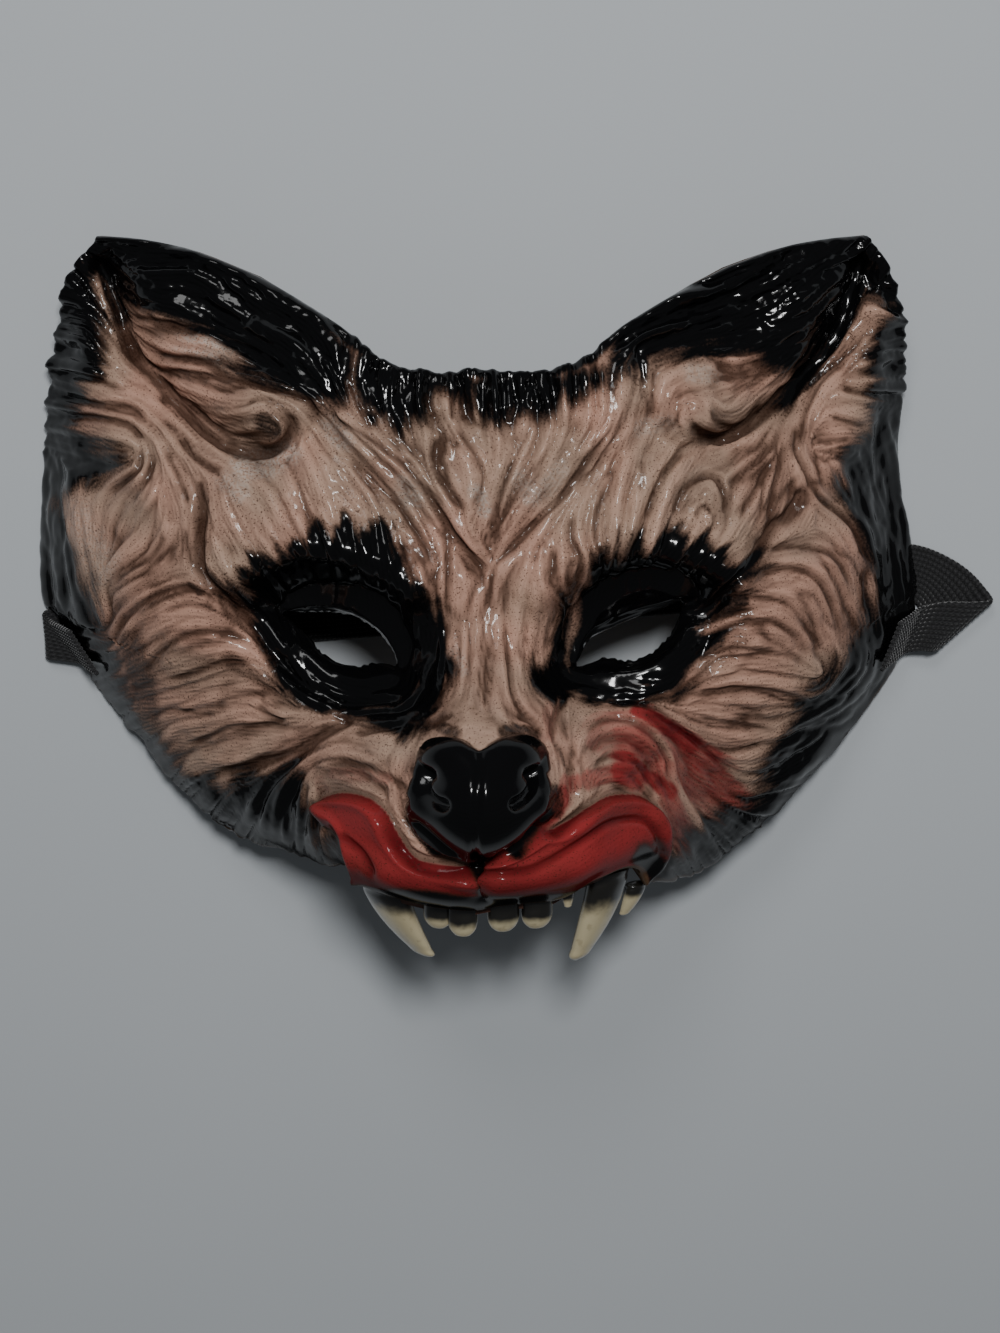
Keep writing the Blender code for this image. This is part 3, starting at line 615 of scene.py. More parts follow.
# %% Strokes that follow the fur
DEEP_FOLDS = (
    # the ear's fold and its curl, the temple's crease, the eye's outer crease, the cheek's fold
    ((102, 272), (113, 304), (126, 334), (141, 363), (165, 386), (189, 415), (208, 434), (234, 447),
     (265, 453), (286, 443), (293, 425), (282, 410)),
    ((860, 261), (850, 302), (830, 343), (807, 373), (784, 394), (766, 414), (748, 427), (722, 439),
     (702, 435), (689, 424)),
    ((198, 493), (201, 520), (197, 547), (201, 571), (212, 587), (233, 606), (257, 630), (279, 662),
     (303, 689)),
    ((808, 484), (790, 517), (778, 523), (766, 541), (745, 574), (721, 598), (703, 620)),
    ((352, 717), (330, 729), (294, 753), (257, 765), (214, 774)),
)
GROOVES = (
    # left ear
    ((189, 402), (212, 423), (236, 434), (265, 433)),
    ((139, 449), (139, 467), (126, 480), (108, 493)),
    ((180, 436), (191, 452), (208, 465), (223, 471)),
    ((130, 317), (165, 324), (204, 330)),
    ((147, 350), (173, 359), (208, 363), (230, 378), (256, 384), (286, 393), (308, 402), (321, 417)),
    ((52, 321), (87, 324), (108, 352)),
    ((56, 371), (91, 378), (121, 389)),
    ((56, 397), (95, 404), (130, 408), (143, 419)),
    ((65, 417), (98, 419), (128, 425), (141, 439)),
    # forehead
    ((456, 429), (470, 449), (481, 470), (481, 486), (472, 509)),
    ((344, 422), (369, 438), (396, 459), (415, 477), (433, 504), (452, 534), (474, 557), (489, 571)),
    ((608, 433), (587, 463), (566, 495), (539, 521), (516, 544), (495, 566)),
    ((323, 417), (357, 454), (387, 486), (408, 516), (429, 550)),
    ((514, 459), (502, 491), (491, 532)),
    ((539, 459), (516, 495), (497, 525), (491, 541)),
    ((438, 442), (435, 465), (447, 488), (465, 511)),
    ((608, 486), (596, 514), (596, 544), (608, 566)),
    ((573, 514), (571, 537), (582, 560), (578, 583)),
    ((355, 344), (348, 376), (360, 410), (372, 432)),
    ((392, 369), (388, 400), (401, 440)),
    ((430, 375), (428, 400), (436, 420)),
    # right ear and temple
    ((710, 409), (720, 424), (743, 424), (763, 404)),
    ((796, 424), (794, 445), (804, 470), (819, 493)),
    ((646, 519), (659, 481), (684, 450)),
    ((671, 519), (687, 488), (710, 475), (725, 493), (725, 519)),
    ((725, 486), (743, 470), (763, 455), (773, 442)),
    ((738, 519), (758, 486), (773, 463)),
    ((768, 519), (776, 481), (784, 442)),
    ((799, 430), (793, 448), (811, 484), (820, 499), (850, 523), (868, 560)),
    ((842, 389), (883, 399)),
    ((830, 417), (865, 427)),
    # left cheek
    ((118, 633), (129, 614), (150, 598), (174, 587), (193, 585)),
    ((112, 585), (129, 571), (150, 558), (161, 544), (163, 534)),
    ((153, 662), (174, 641), (201, 633), (228, 635), (246, 641)),
    ((166, 681), (193, 675), (214, 667), (230, 662), (252, 665)),
    ((187, 745), (209, 737), (230, 726), (254, 725), (284, 724)),
    ((257, 705), (270, 716), (284, 722)),
    ((303, 757), (270, 785), (257, 815)),
    ((303, 769), (289, 801), (287, 836)),
    ((306, 783), (303, 836)),
    ((309, 800), (319, 850)),
    # right cheek
    ((760, 574), (790, 569), (814, 577), (829, 598), (838, 625)),
    ((769, 550), (793, 547), (820, 550), (838, 562), (850, 586)),
    ((700, 640), (736, 625), (772, 622), (800, 640)),
    ((700, 694), (739, 688), (775, 691), (802, 700)),
    # muzzle
    ((596, 708), (640, 705), (668, 720), (700, 745), (730, 775)),
    ((585, 735), (600, 722), (625, 720), (650, 735), (665, 755), (668, 780)),
    ((590, 752), (605, 738), (630, 740), (650, 757)),
    ((325, 766), (347, 762), (368, 767), (392, 779), (406, 790)),
    ((355, 734), (374, 731), (395, 728)),
    ((549, 836), (588, 803)),
    ((562, 700), (556, 715), (552, 735)),
    ((430, 726), (440, 718), (452, 714)),
    ((520, 716), (532, 720), (540, 730)),
)
CREASES = (
    ((160, 371), (195, 373), (230, 380)), ((178, 395), (208, 406), (239, 407), (256, 399)),
    ((76, 445), (104, 449), (130, 452)), ((48, 347), (80, 352)),
    ((152, 460), (147, 480), (130, 504)), ((165, 449), (180, 478), (189, 504)), ((199, 480), (204, 512)),
    ((491, 573), (488, 619)), ((449, 537), (447, 571), (447, 619)), ((419, 550), (429, 583), (431, 612)),
    ((518, 560), (507, 583), (504, 619)), ((553, 548), (553, 583), (569, 605)), ((644, 459), (640, 491)),
    ((376, 360), (374, 385), (380, 412)), ((412, 380), (412, 420)), ((452, 383), (452, 422)),
    ((830, 317), (809, 353), (784, 376), (766, 389)), ((845, 358), (822, 384), (807, 409), (802, 437)),
    ((819, 442), (850, 440)), ((694, 519), (702, 506), (712, 514)), ((784, 519), (796, 476)),
    ((134, 619), (161, 600), (193, 592), (214, 598)), ((150, 718), (171, 710), (193, 713), (214, 716)),
    ((730, 598), (760, 598), (787, 604), (805, 625), (820, 652)), ((700, 718), (730, 724), (775, 730)),
    ((596, 762), (612, 755), (628, 762)), ((333, 774), (355, 772), (371, 779)),
    ((447, 625), (444, 660), (436, 700)), ((488, 640), (486, 680), (484, 705)),
    ((507, 640), (512, 690), (525, 715)), ((700, 658), (735, 648), (775, 652)),
    ((705, 745), (730, 752), (762, 745)),
)
FLOWS = (
    ((93, 243), (152, 250), (217, 256), (271, 285), (325, 321), (345, 345)),
    ((104, 254), (141, 280), (186, 276), (217, 289), (245, 313), (300, 350), (330, 400)),
    ((200, 320), (260, 345), (300, 375), (335, 410)),
    ((855, 259), (817, 274), (779, 297), (740, 315), (702, 325), (650, 340), (615, 360)),
    ((847, 284), (822, 312), (786, 328), (743, 335), (702, 345), (650, 360)),
    ((842, 302), (814, 333), (779, 353), (743, 363), (707, 356)),
    ((480, 375), (482, 425)), ((520, 372), (522, 430)), ((560, 370), (562, 430)), ((592, 362), (598, 415)),
    ((630, 345), (640, 380), (630, 430)), ((865, 363), (901, 358)), ((842, 407), (881, 412)),
    ((872, 300), (900, 310)), ((50, 300), (90, 310)), ((70, 260), (95, 290)),
    ((50, 470), (46, 540), (55, 620)), ((75, 500), (80, 560), (100, 620)), ((100, 640), (70, 640)),
    ((150, 730), (120, 760)), ((200, 770), (165, 810)), ((240, 790), (215, 830)),
    ((330, 595), (322, 560), (312, 530)), ((360, 592), (360, 555), (352, 525)),
    ((385, 605), (386, 565), (380, 525)), ((300, 592), (285, 568), (268, 552)),
    ((410, 625), (410, 585), (398, 545)), ((432, 650), (434, 615), (420, 585)),
    ((590, 605), (602, 575), (610, 545)), ((630, 578), (642, 552), (652, 530)),
    ((668, 575), (688, 552), (700, 530)), ((700, 588), (725, 562), (745, 545)),
    ((562, 650), (572, 612), (584, 588)), ((270, 640), (300, 690), (350, 716), (410, 712)),
    ((715, 640), (680, 688), (620, 702), (565, 690)), ((340, 560), (318, 505), (300, 460)),
    ((250, 560), (225, 520), (215, 480)), ((280, 540), (262, 500), (240, 470)),
    ((655, 520), (668, 480), (690, 450)), ((620, 535), (625, 490), (640, 450)),
    ((760, 545), (785, 520), (800, 500)), ((240, 690), (200, 700), (160, 730)),
    ((300, 720), (240, 745), (190, 765)), ((280, 770), (240, 800)), ((860, 480), (880, 540), (890, 600)),
    ((885, 420), (895, 480), (905, 540)), ((850, 620), (860, 660), (840, 690)), ((770, 735), (840, 700)),
    ((775, 770), (820, 742)), ((745, 800), (790, 785)), ((700, 800), (735, 830), (750, 850)),
    ((690, 760), (720, 790), (745, 800)), ((680, 800), (700, 840), (715, 870)),
    ((650, 770), (668, 800), (680, 830)),
    ((318, 810), (360, 830), (400, 870), (480, 882), (550, 870), (600, 840), (650, 830)),
    ((320, 790), (345, 780), (380, 790)), ((420, 720), (400, 760), (392, 800)),
    ((550, 720), (568, 760), (572, 800)), ((640, 620), (730, 610)), ((470, 720), (490, 720)),
    ((440, 700), (420, 715)), ((540, 690), (560, 705)),
)
print(len(DEEP_FOLDS) + len(GROOVES) + len(CREASES) + len(FLOWS), "strokes drawn")

# %% The flow of the fur
FLOW_SOFTNESS = 7.0
FLOW_POWER = 1.6
MAP_STEP = 2.0
MAP_LEFT, MAP_TOP = 0.0, 200.0
MAP_COLUMNS, MAP_ROWS = 500, 380
COARSE = 4


def flow_sums():
    """Cosine and sine of twice the fur's angle, summed from the strokes near each place."""
    y, x = np.mgrid[0:MAP_ROWS:COARSE, 0:MAP_COLUMNS:COARSE] * MAP_STEP
    x, y = (x + MAP_LEFT).ravel(), (y + MAP_TOP).ravel()
    twice_x, twice_y = np.zeros(len(x)), np.zeros(len(x))
    for stroke in (*DEEP_FOLDS, *GROOVES, *CREASES, *FLOWS):
        path = bent(stroke)[::2]
        for first, last in zip(path[:-1], path[1:]):
            run = last - first
            length = math.hypot(*run)
            if length < TINY:
                continue
            middle = (first + last) / 2
            spacing = (x - middle[0])**2 + (y - middle[1])**2 + FLOW_SOFTNESS**2
            weight = length / spacing**FLOW_POWER
            turn = 2 * math.atan2(run[1], run[0])
            twice_x += weight * math.cos(turn)
            twice_y += weight * math.sin(turn)
    shape = (-(-MAP_ROWS // COARSE), -(-MAP_COLUMNS // COARSE))
    return twice_x.reshape(shape), twice_y.reshape(shape)


def from_map(values, x, y, step):
    """Read a grid over the photograph at the given places."""
    j = np.clip((x - MAP_LEFT) / step, 0, values.shape[1] - 1.001)
    i = np.clip((y - MAP_TOP) / step, 0, values.shape[0] - 1.001)
    j0, i0 = j.astype(int), i.astype(int)
    u, v = j - j0, i - i0
    upper = values[i0, j0] * (1 - u) + values[i0, j0 + 1] * u
    lower = values[i0 + 1, j0] * (1 - u) + values[i0 + 1, j0 + 1] * u
    return upper * (1 - v) + lower * v


def flow_at(x, y):
    """The fur's angle at the given places of the photograph."""
    step = MAP_STEP * COARSE
    return 0.5 * np.arctan2(from_map(coarse_y, x, y, step), from_map(coarse_x, x, y, step))


coarse_x, coarse_y = flow_sums()
map_y, map_x = np.mgrid[0:MAP_ROWS, 0:MAP_COLUMNS] * MAP_STEP
angles = flow_at(map_x + MAP_LEFT, map_y + MAP_TOP)
print("flow map", angles.shape)

# %% Combing noise along the flow
LOCK_SEED, LOCK_GRAIN, LOCK_COMB = 3, 2.3, 30
STRAND_SEED, STRAND_GRAIN, STRAND_COMB = 8, 1.35, 24
CLUMP_SEED, CLUMP_GRAIN = 5, 9.0


def even_noise(seed, grain):
    """Random values blurred to one grain size, in map cells, with a spread of one."""
    noise = np.random.default_rng(seed).standard_normal((MAP_ROWS, MAP_COLUMNS))
    fy = np.fft.fftfreq(MAP_ROWS)[:, None]
    fx = np.fft.rfftfreq(MAP_COLUMNS)[None, :]
    blur = np.exp(-2 * (math.pi * grain)**2 * (fx**2 + fy**2))
    soft = np.fft.irfft2(np.fft.rfft2(noise) * blur, s=noise.shape)
    return soft / soft.std()


def comb(noise, steps):
    """Smear noise along the flow, the given number of cells both ways."""
    y, x = np.mgrid[0:MAP_ROWS, 0:MAP_COLUMNS].astype(float)
    run_x, run_y = np.cos(angles), np.sin(angles)
    total = noise.copy()
    for way in (1, -1):
        at_x, at_y = x.copy(), y.copy()
        last_x, last_y = way * run_x, way * run_y
        for _ in range(steps):
            i = np.clip(np.rint(at_y), 0, MAP_ROWS - 1).astype(int)
            j = np.clip(np.rint(at_x), 0, MAP_COLUMNS - 1).astype(int)
            step_x, step_y = run_x[i, j], run_y[i, j]
            flip = np.where(step_x * last_x + step_y * last_y < 0, -1.0, 1.0)
            last_x, last_y = step_x * flip, step_y * flip
            at_x += last_x
            at_y += last_y
            i = np.clip(np.rint(at_y), 0, MAP_ROWS - 1).astype(int)
            j = np.clip(np.rint(at_x), 0, MAP_COLUMNS - 1).astype(int)
            total += noise[i, j]
    return total / total.std()


locks = from_map(comb(even_noise(LOCK_SEED, LOCK_GRAIN), LOCK_COMB), column, row, MAP_STEP)
strands = from_map(comb(even_noise(STRAND_SEED, STRAND_GRAIN), STRAND_COMB), column, row, MAP_STEP)
clumps = from_map(even_noise(CLUMP_SEED, CLUMP_GRAIN), column, row, MAP_STEP)
print("combed fur, spread", locks.std().round(2), strands.std().round(2))

# %% [markdown]
# ## Nose, lips and eyes
# The hairless parts stand out from the fur with crisp edges: a leathery nose pad, swollen red
# lips and thick eyelids. Each is an outline in the photograph. How deep a place lies inside
# the outline gives its height, steep at the edge and nearly flat further in.

# %% Outlines of the hairless parts
EYE_HOLES = (
    ((283, 612), (300, 612), (330, 613), (355, 619), (380, 636), (393, 654), (394, 664), (385, 663),
     (373, 662), (355, 665), (335, 659), (320, 649), (305, 631)),
    ((579, 661), (590, 640), (610, 627), (640, 615), (665, 608), (681, 603), (680, 613), (672, 630),
     (660, 643), (645, 655), (625, 659), (605, 656), (590, 661)),
)
UPPER_LIDS = (
    ((283, 612), (292, 600), (318, 590), (348, 589), (376, 601), (396, 622), (404, 650), (398, 664),
     (392, 654), (380, 636), (355, 619), (330, 613), (300, 612)),
    ((577, 660), (571, 640), (579, 612), (600, 590), (630, 575), (660, 572), (684, 581), (694, 597),
     (681, 603), (665, 608), (640, 615), (610, 627), (590, 640)),
)
NOSE_PAD = (
    (446, 738), (430, 745), (418, 766), (412, 792), (411, 815), (420, 836), (440, 851), (462, 858),
    (478, 868), (492, 856), (512, 846), (530, 826), (542, 802), (548, 776), (544, 752), (529, 738),
    (510, 736), (494, 742), (479, 749), (464, 741),
)
LIPS = (
    (312, 814), (315, 804), (328, 796), (345, 793), (368, 798), (386, 812), (398, 835), (414, 858),
    (441, 865), (476, 869), (490, 857), (516, 843), (537, 831), (553, 830), (570, 820), (590, 806),
    (610, 796), (636, 795), (655, 805), (668, 822), (671, 846), (662, 868), (645, 885), (640, 905),
    (560, 915), (478, 915), (400, 915), (360, 905), (352, 885), (350, 868), (344, 852), (334, 832),
    (320, 824),
)
LIP_GROOVES = (
    ((384, 818), (395, 840), (411, 861), (433, 871), (478, 871), (521, 870), (543, 862), (564, 849),
     (588, 830), (612, 819), (640, 820), (655, 835), (658, 856)),
    ((345, 835), (365, 850), (380, 872)),
)
LOWER_LIDS = (
    ((288, 630), (306, 654), (330, 673), (356, 681), (380, 679), (402, 672)),
    ((692, 618), (683, 642), (665, 661), (640, 673), (610, 676), (585, 672)),
)
UNDER_LIDS = (
    ((272, 640), (288, 670), (315, 694), (350, 703), (398, 700)),
    ((713, 628), (701, 656), (680, 681), (650, 695), (610, 698), (572, 690)),
)
NOSTRILS = (
    ((455, 806), (440, 803), (431, 792), (434, 779), (444, 772)),
    ((505, 806), (518, 802), (527, 791), (525, 778), (516, 772)),
)
NOSE_LINES = (
    ((479, 752), (480, 780), (478, 815), (476, 850), (478, 868)),
    ((421, 800), (414, 792), (420, 775)),
    ((538, 800), (545, 790), (541, 774)),
    ((424, 816), (440, 830), (462, 850)),
    ((534, 812), (518, 830), (494, 848)),
)

lip_depth = depth_in(LIPS)
nose_depth = depth_in(NOSE_PAD)
hole_depth = np.maximum(depth_in(EYE_HOLES[0]), depth_in(EYE_HOLES[1]))
lid_depth = np.maximum(depth_in(UPPER_LIDS[0]), depth_in(UPPER_LIDS[1]))
print("places on the lips", int((lip_depth > 0).sum()), "and on the nose", int((nose_depth > 0).sum()))


# %% Raised and sunken forms
STROKE_REACH = 3.2
STROKE_START = 0.25


def along_strokes(strokes, width, taper=0.18):
    """1 on the middle of drawn strokes, fading beside them and towards their ends."""
    strength = np.zeros(len(column))
    for stroke in strokes:
        gap, place = near_path(column, row, bent(stroke), STROKE_REACH * width)
        ends = ease(np.minimum(place, 1 - place) / taper + STROKE_START)
        strength = np.maximum(strength, bell(gap / width) * ends)
    return strength


def blob(x, y, reach_x, reach_y):
    return bell(np.hypot((column - x) / reach_x, (row - y) / reach_y))


MM = 0.001
NOSE_BLOBS = (
    # x, y, reach x, reach y, height
    (447, 757, 20, 15, 2.0),
    (513, 756, 20, 15, 2.0),
    (480, 748, 9, 14, -0.7),
    (479, 792, 16, 18, 1.2),
    (424, 800, 10, 18, 1.0),
    (536, 798, 10, 18, 1.0),
)
STROKE_RELIEF = (
    # strokes, width in pixels, taper, height in mm
    (LIP_GROOVES, 3.6, 0.18, -1.3),
    (NOSTRILS, 5.0, 0.18, -3.4),
    (NOSE_LINES, 2.8, 0.10, -1.0),
    (LOWER_LIDS, 6.5, 0.18, 1.3),
    (UNDER_LIDS, 4.0, 0.18, -1.1),
    (DEEP_FOLDS, 15.0, 0.12, 0.9),
    (GROOVES, 8.0, 0.18, 0.45),
)
SWELLINGS = (
    # depth in an outline, rise in mm, over pixels, trench in mm, its distance, its width
    (lip_depth, 2.3, 9, 0.7, 3.5, 3.2),
    (nose_depth, 2.4, 7, 0.6, 3.5, 3.5),
    (lid_depth, 2.0, 13, 1.1, 3.0, 3.2),
)
LIP_ROLL, LIP_ROLL_AT, LIP_ROLL_WIDTH = 0.7, 8, 5
FOLD_DEPTH, GROOVE_DEPTH, CREASE_DEPTH = 2.6, 1.25, 0.6

form = LIP_ROLL * bell((lip_depth - LIP_ROLL_AT) / LIP_ROLL_WIDTH)
for depth, rise, over, trench, distance, width in SWELLINGS:
    form += rise * ease(depth / over) - trench * bell((depth + distance) / width)
for x, y, reach_x, reach_y, rise in NOSE_BLOBS:
    form += rise * blob(x, y, reach_x, reach_y)
for strokes, width, taper, rise in STROKE_RELIEF:
    form += rise * along_strokes(strokes, width, taper)
deep = along_strokes(DEEP_FOLDS, 6.5, 0.12)
grooves = along_strokes(GROOVES, 3.4)
creases = along_strokes(CREASES, 2.6)
form -= FOLD_DEPTH * deep + GROOVE_DEPTH * grooves + CREASE_DEPTH * creases
print("hand-made relief from", form.min().round(1), "to", form.max().round(1), "mm")

# %% [markdown]
# ## Fur
# Where combed noise crosses zero, a sharp groove runs between two rounded locks. Broad locks
# carry finer strands on top. The fur dies out on the nose, the lips and the eyelids, it is
# shallow on the muzzle and deep on the ears and the forehead.

# %% Fur relief
HOLE_SMOOTH = 14
LOCK_HEIGHT, LOCK_POWER, LOCK_GAP = 1.05, 0.75, 0.42
STRAND_HEIGHT, STRAND_POWER, STRAND_GAP = 0.62, 0.8, 0.60
FUR_MIDDLE = 0.8
MUZZLE = (480, 770, 120, 75)
BROW = (490, 440, 150, 60)
EAR_ROW, EAR_MIDDLE, EAR_APART, EAR_SOFT = 430, 480, 120, 60
FRINGE_ROW, FRINGE_MIDDLE, FRINGE_HALF, FRINGE_SOFT = 440, 475, 150, 40

bald = np.maximum.reduce([
    ease(lip_depth / 6 + 1),
    ease(nose_depth / 6 + 1),
    0.75 * ease(lid_depth / 5 + 1),
    0.5 * along_strokes(LOWER_LIDS, 9.0, 0.05),
])
muzzle = blob(*MUZZLE)
brow = blob(*BROW)
ears = ease((EAR_ROW - row) / EAR_SOFT) * ease((np.abs(column - EAR_MIDDLE) - EAR_APART) / EAR_SOFT)
fringe = ease((FRINGE_ROW - row) / FRINGE_SOFT)
fringe *= ease((FRINGE_HALF - np.abs(column - FRINGE_MIDDLE)) / FRINGE_SOFT)
coarse_fur = (1 - bald) * (0.85 - 0.45 * muzzle + 0.20 * brow + 0.35 * ears + 0.45 * fringe)
coarse_fur = coarse_fur * (0.35 + 0.65 * facing) * ease(-hole_depth / HOLE_SMOOTH)
lock_shape = np.abs(locks)**LOCK_POWER
strand_shape = np.abs(strands)**STRAND_POWER
lock_gap = bell(locks / LOCK_GAP)
strand_gap = bell(strands / STRAND_GAP)
fur = coarse_fur * (LOCK_HEIGHT * (lock_shape - FUR_MIDDLE) + STRAND_HEIGHT * (strand_shape - FUR_MIDDLE))
skin = (form + fur) * MM
print("fur relief from", fur.min().round(2), "to", fur.max().round(2), "mm")

# %% [markdown]
# ## Eye holes
# Cells inside an eye's outline are dropped, and the places round the hole slide onto the
# outline, so its edge is smooth although the grid is square.

# %% Holes and rounded edges
EDGE_ROUND = 0.0011
SLIDE_LIMIT = 1.1

grid_shape = (ROWS + 1, COLUMNS + 1)
depth_grid = hole_depth.reshape(grid_shape)
cell_depth = (depth_grid[:-1, :-1] + depth_grid[:-1, 1:] + depth_grid[1:, :-1] + depth_grid[1:, 1:]) / 4
kept = cell_depth < 0


def corners_of(cells):
    """Mark the places that are a corner of a marked cell."""
    marked = np.pad(cells, 1)
    return marked[:-1, :-1] | marked[:-1, 1:] | marked[1:, :-1] | marked[1:, 1:]


edge_of_hole = corners_of(~kept) & corners_of(kept)


def slide_to_outline(points):
    """Move the places round each hole along the skin until they lie on its outline."""
    moved = points.copy()
    x, y = column.reshape(grid_shape), row.reshape(grid_shape)
    along_u, along_v = np.gradient(points, axis=1), np.gradient(points, axis=0)
    xu, xv = np.gradient(x, axis=1), np.gradient(x, axis=0)
    yu, yv = np.gradient(y, axis=1), np.gradient(y, axis=0)
    outlines = [bent(outline, closed=True) for outline in EYE_HOLES]
    for i, j in zip(*np.nonzero(edge_of_hole)):
        here = np.array([x[i, j], y[i, j]])
        best = None
        for path in outlines:
            for first, last in zip(path[:-1], path[1:]):
                run = last - first
                along = np.clip((here - first) @ run / max(run @ run, TINY), 0, 1)
                nearest = first + along * run
                if best is None or np.hypot(*(nearest - here)) < np.hypot(*(best - here)):
                    best = nearest
        shift = best - here
        turn = np.array([[xu[i, j], xv[i, j]], [yu[i, j], yv[i, j]]])
        u, v = np.clip(np.linalg.solve(turn, shift), -SLIDE_LIMIT, SLIDE_LIMIT)
        moved[i, j] = points[i, j] + u * along_u[i, j] + v * along_v[i, j]
    return moved


def rounded(distance, radius):
    """How far an edge of this radius drops at a distance from the edge."""
    inside = np.clip(1 - distance / radius, 0, 1)
    return radius * (1 - np.sqrt(1 - inside**2))


i, j = np.indices(grid_shape)
rim_gap = np.minimum.reduce([i, ROWS - i, j, COLUMNS - j]).ravel().astype(float)
cell_size = 2 * HALF_WIDTH / COLUMNS
drop = np.maximum(rounded(rim_gap * cell_size, EDGE_ROUND),
                  rounded(np.maximum(-hole_depth, 0) * PIXEL, EDGE_ROUND))
height = (skin - drop).reshape(grid_shape)
print("cells cut for the eyes", int((~kept).sum()))


# %% The two skins
INSIDE_BLUR = 12


def blur_grid(values, passes):
    for _ in range(passes):
        padded = np.pad(values, 1, mode="edge")
        values = (padded[:-2, 1:-1] + padded[2:, 1:-1] + padded[1:-1, :-2] + padded[1:-1, 2:]
                  + 4 * padded[1:-1, 1:-1]) / 8
    return values


base = slide_to_outline(bare)
outer = base + bare_normals * height[..., None]
sunken = np.minimum(blur_grid(height, INSIDE_BLUR), np.minimum(height, 0))
inner = base + bare_normals * (sunken - WALL)[..., None]
for skin_grid in (outer, inner):
    skin_grid[..., 2] = np.maximum(skin_grid[..., 2], 0.0)
print("outer skin reaches", outer.reshape(-1, 3).max(axis=0).round(4))

# %% [markdown]
# ## Where the paint lies
# The flesh-coloured latex is sprayed black round the rims, the ears, the fringe and the eyes,
# and red on the lips and one cheek. Brown painted shade darkens the grooves, the gaps between the
# locks and the lip's edges, and a few pale patches are painted highlights. Each spray is an
# outline or a stroke whose edge is broken up by the same strands that shape the fur.

# %% Outlines of the sprayed areas
BLACK_EDGES = (
    ((60, 250), (86, 226), (120, 226), (200, 236), (280, 272), (345, 330), (372, 345), (358, 395),
     (347, 415), (334, 413), (318, 402), (299, 394), (260, 382), (234, 371), (217, 350), (190, 330),
     (152, 318), (134, 312), (130, 330), (119, 325), (108, 300), (104, 288), (102, 300), (106, 321),
     (102, 352), (96, 371), (90, 385), (86, 398), (86, 412), (90, 425), (94, 440), (100, 448), (118, 452),
     (124, 462), (112, 480), (92, 490), (66, 497), (62, 512), (70, 525), (84, 550), (93, 587), (108, 630),
     (128, 681), (146, 721), (172, 748), (193, 769), (222, 783), (254, 783), (280, 772), (300, 760),
     (309, 790), (318, 830), (345, 862), (345, 900), (150, 900), (0, 600), (0, 230)),
    ((340, 325), (370, 345), (420, 366), (590, 356), (612, 335), (640, 345), (621, 390), (598, 404),
     (575, 412), (541, 420), (513, 420), (490, 422), (472, 416), (456, 400), (438, 392), (428, 414),
     (410, 420), (401, 438), (387, 415), (369, 424), (355, 405), (346, 380)),
    ((605, 325), (700, 270), (800, 230), (860, 220), (910, 235), (935, 300), (960, 600), (960, 760),
     (760, 900), (700, 915), (640, 905), (642, 885), (664, 862), (680, 838), (690, 822), (712, 812),
     (740, 800), (760, 782), (772, 754), (782, 730), (802, 700), (822, 679), (843, 646), (857, 622),
     (868, 580), (860, 550), (848, 520), (836, 492), (836, 468), (846, 448), (858, 430), (862, 409),
     (872, 384), (868, 366), (872, 343), (880, 306), (864, 306), (848, 343), (820, 379), (804, 402),
     (790, 412), (782, 398), (784, 382), (776, 372), (753, 360), (702, 360), (651, 368), (636, 385),
     (615, 398), (598, 405)),
)
BLACK_EYES = (
    ((252, 577), (266, 562), (276, 548), (290, 548), (306, 530), (315, 524), (330, 534), (345, 522),
     (364, 525), (379, 520), (389, 527), (393, 541), (402, 551), (408, 580), (424, 588), (436, 607),
     (444, 630), (448, 650), (451, 668), (438, 688), (430, 703), (424, 720), (404, 724), (372, 722),
     (350, 714), (334, 707), (316, 710), (302, 702), (290, 687), (280, 667), (269, 646), (257, 624),
     (238, 608), (219, 596), (222, 590), (242, 602), (254, 598), (250, 586)),
    ((576, 585), (588, 577), (595, 556), (606, 563), (614, 552), (625, 535), (635, 528), (646, 526),
     (654, 536), (665, 532), (682, 532), (699, 537), (714, 545), (724, 548), (732, 562), (756, 560),
     (746, 582), (731, 595), (740, 606), (724, 619), (710, 634), (726, 638), (706, 654), (693, 664),
     (681, 682), (662, 693), (643, 699), (618, 701), (595, 699), (573, 697), (557, 693), (545, 684),
     (544, 672), (552, 654), (558, 634), (566, 614), (571, 599)),
)
# The strokes along the lip's lower edge, from 348 to 585 across, and down the cleft under the nose, at 478
# and 479, are painted shade; the others are the black spray.
BLACK_STROKES = (
    # x0, y0, x1, y1, reach, strength
    (415, 820, 440, 850, 9, 1.0), (545, 812, 512, 846, 8, 0.9), (478, 868, 478, 884, 6, 0.7),
    (348, 882, 470, 896, 7, 0.95), (470, 896, 585, 888, 7, 0.95), (479, 868, 479, 892, 6, 0.8),
    (640, 850, 668, 882, 13, 0.9),
    (652, 838, 660, 850, 8, 0.5), (266, 422, 274, 428, 12, 0.6), (118, 322, 135, 352, 8, 0.45),
    (102, 270, 120, 318, 9, 0.7), (835, 330, 806, 375, 9, 0.75), (855, 290, 838, 330, 9, 1.0),
    (790, 388, 765, 412, 6, 0.4), (190, 585, 200, 592, 4, 0.6), (198, 520, 200, 565, 4, 0.4),
    (205, 572, 240, 606, 6, 0.65), (745, 574, 722, 598, 7, 0.8), (700, 622, 742, 600, 8, 0.7),
    (440, 726, 455, 733, 6, 0.55), (505, 731, 535, 733, 7, 0.6), (553, 790, 556, 812, 7, 0.6),
    (250, 790, 300, 830, 22, 0.8), (350, 716, 412, 730, 8, 0.55),
    (228, 660, 296, 700, 9, 0.45), (690, 665, 740, 640, 10, 0.35), (130, 640, 150, 720, 14, 0.5),
)
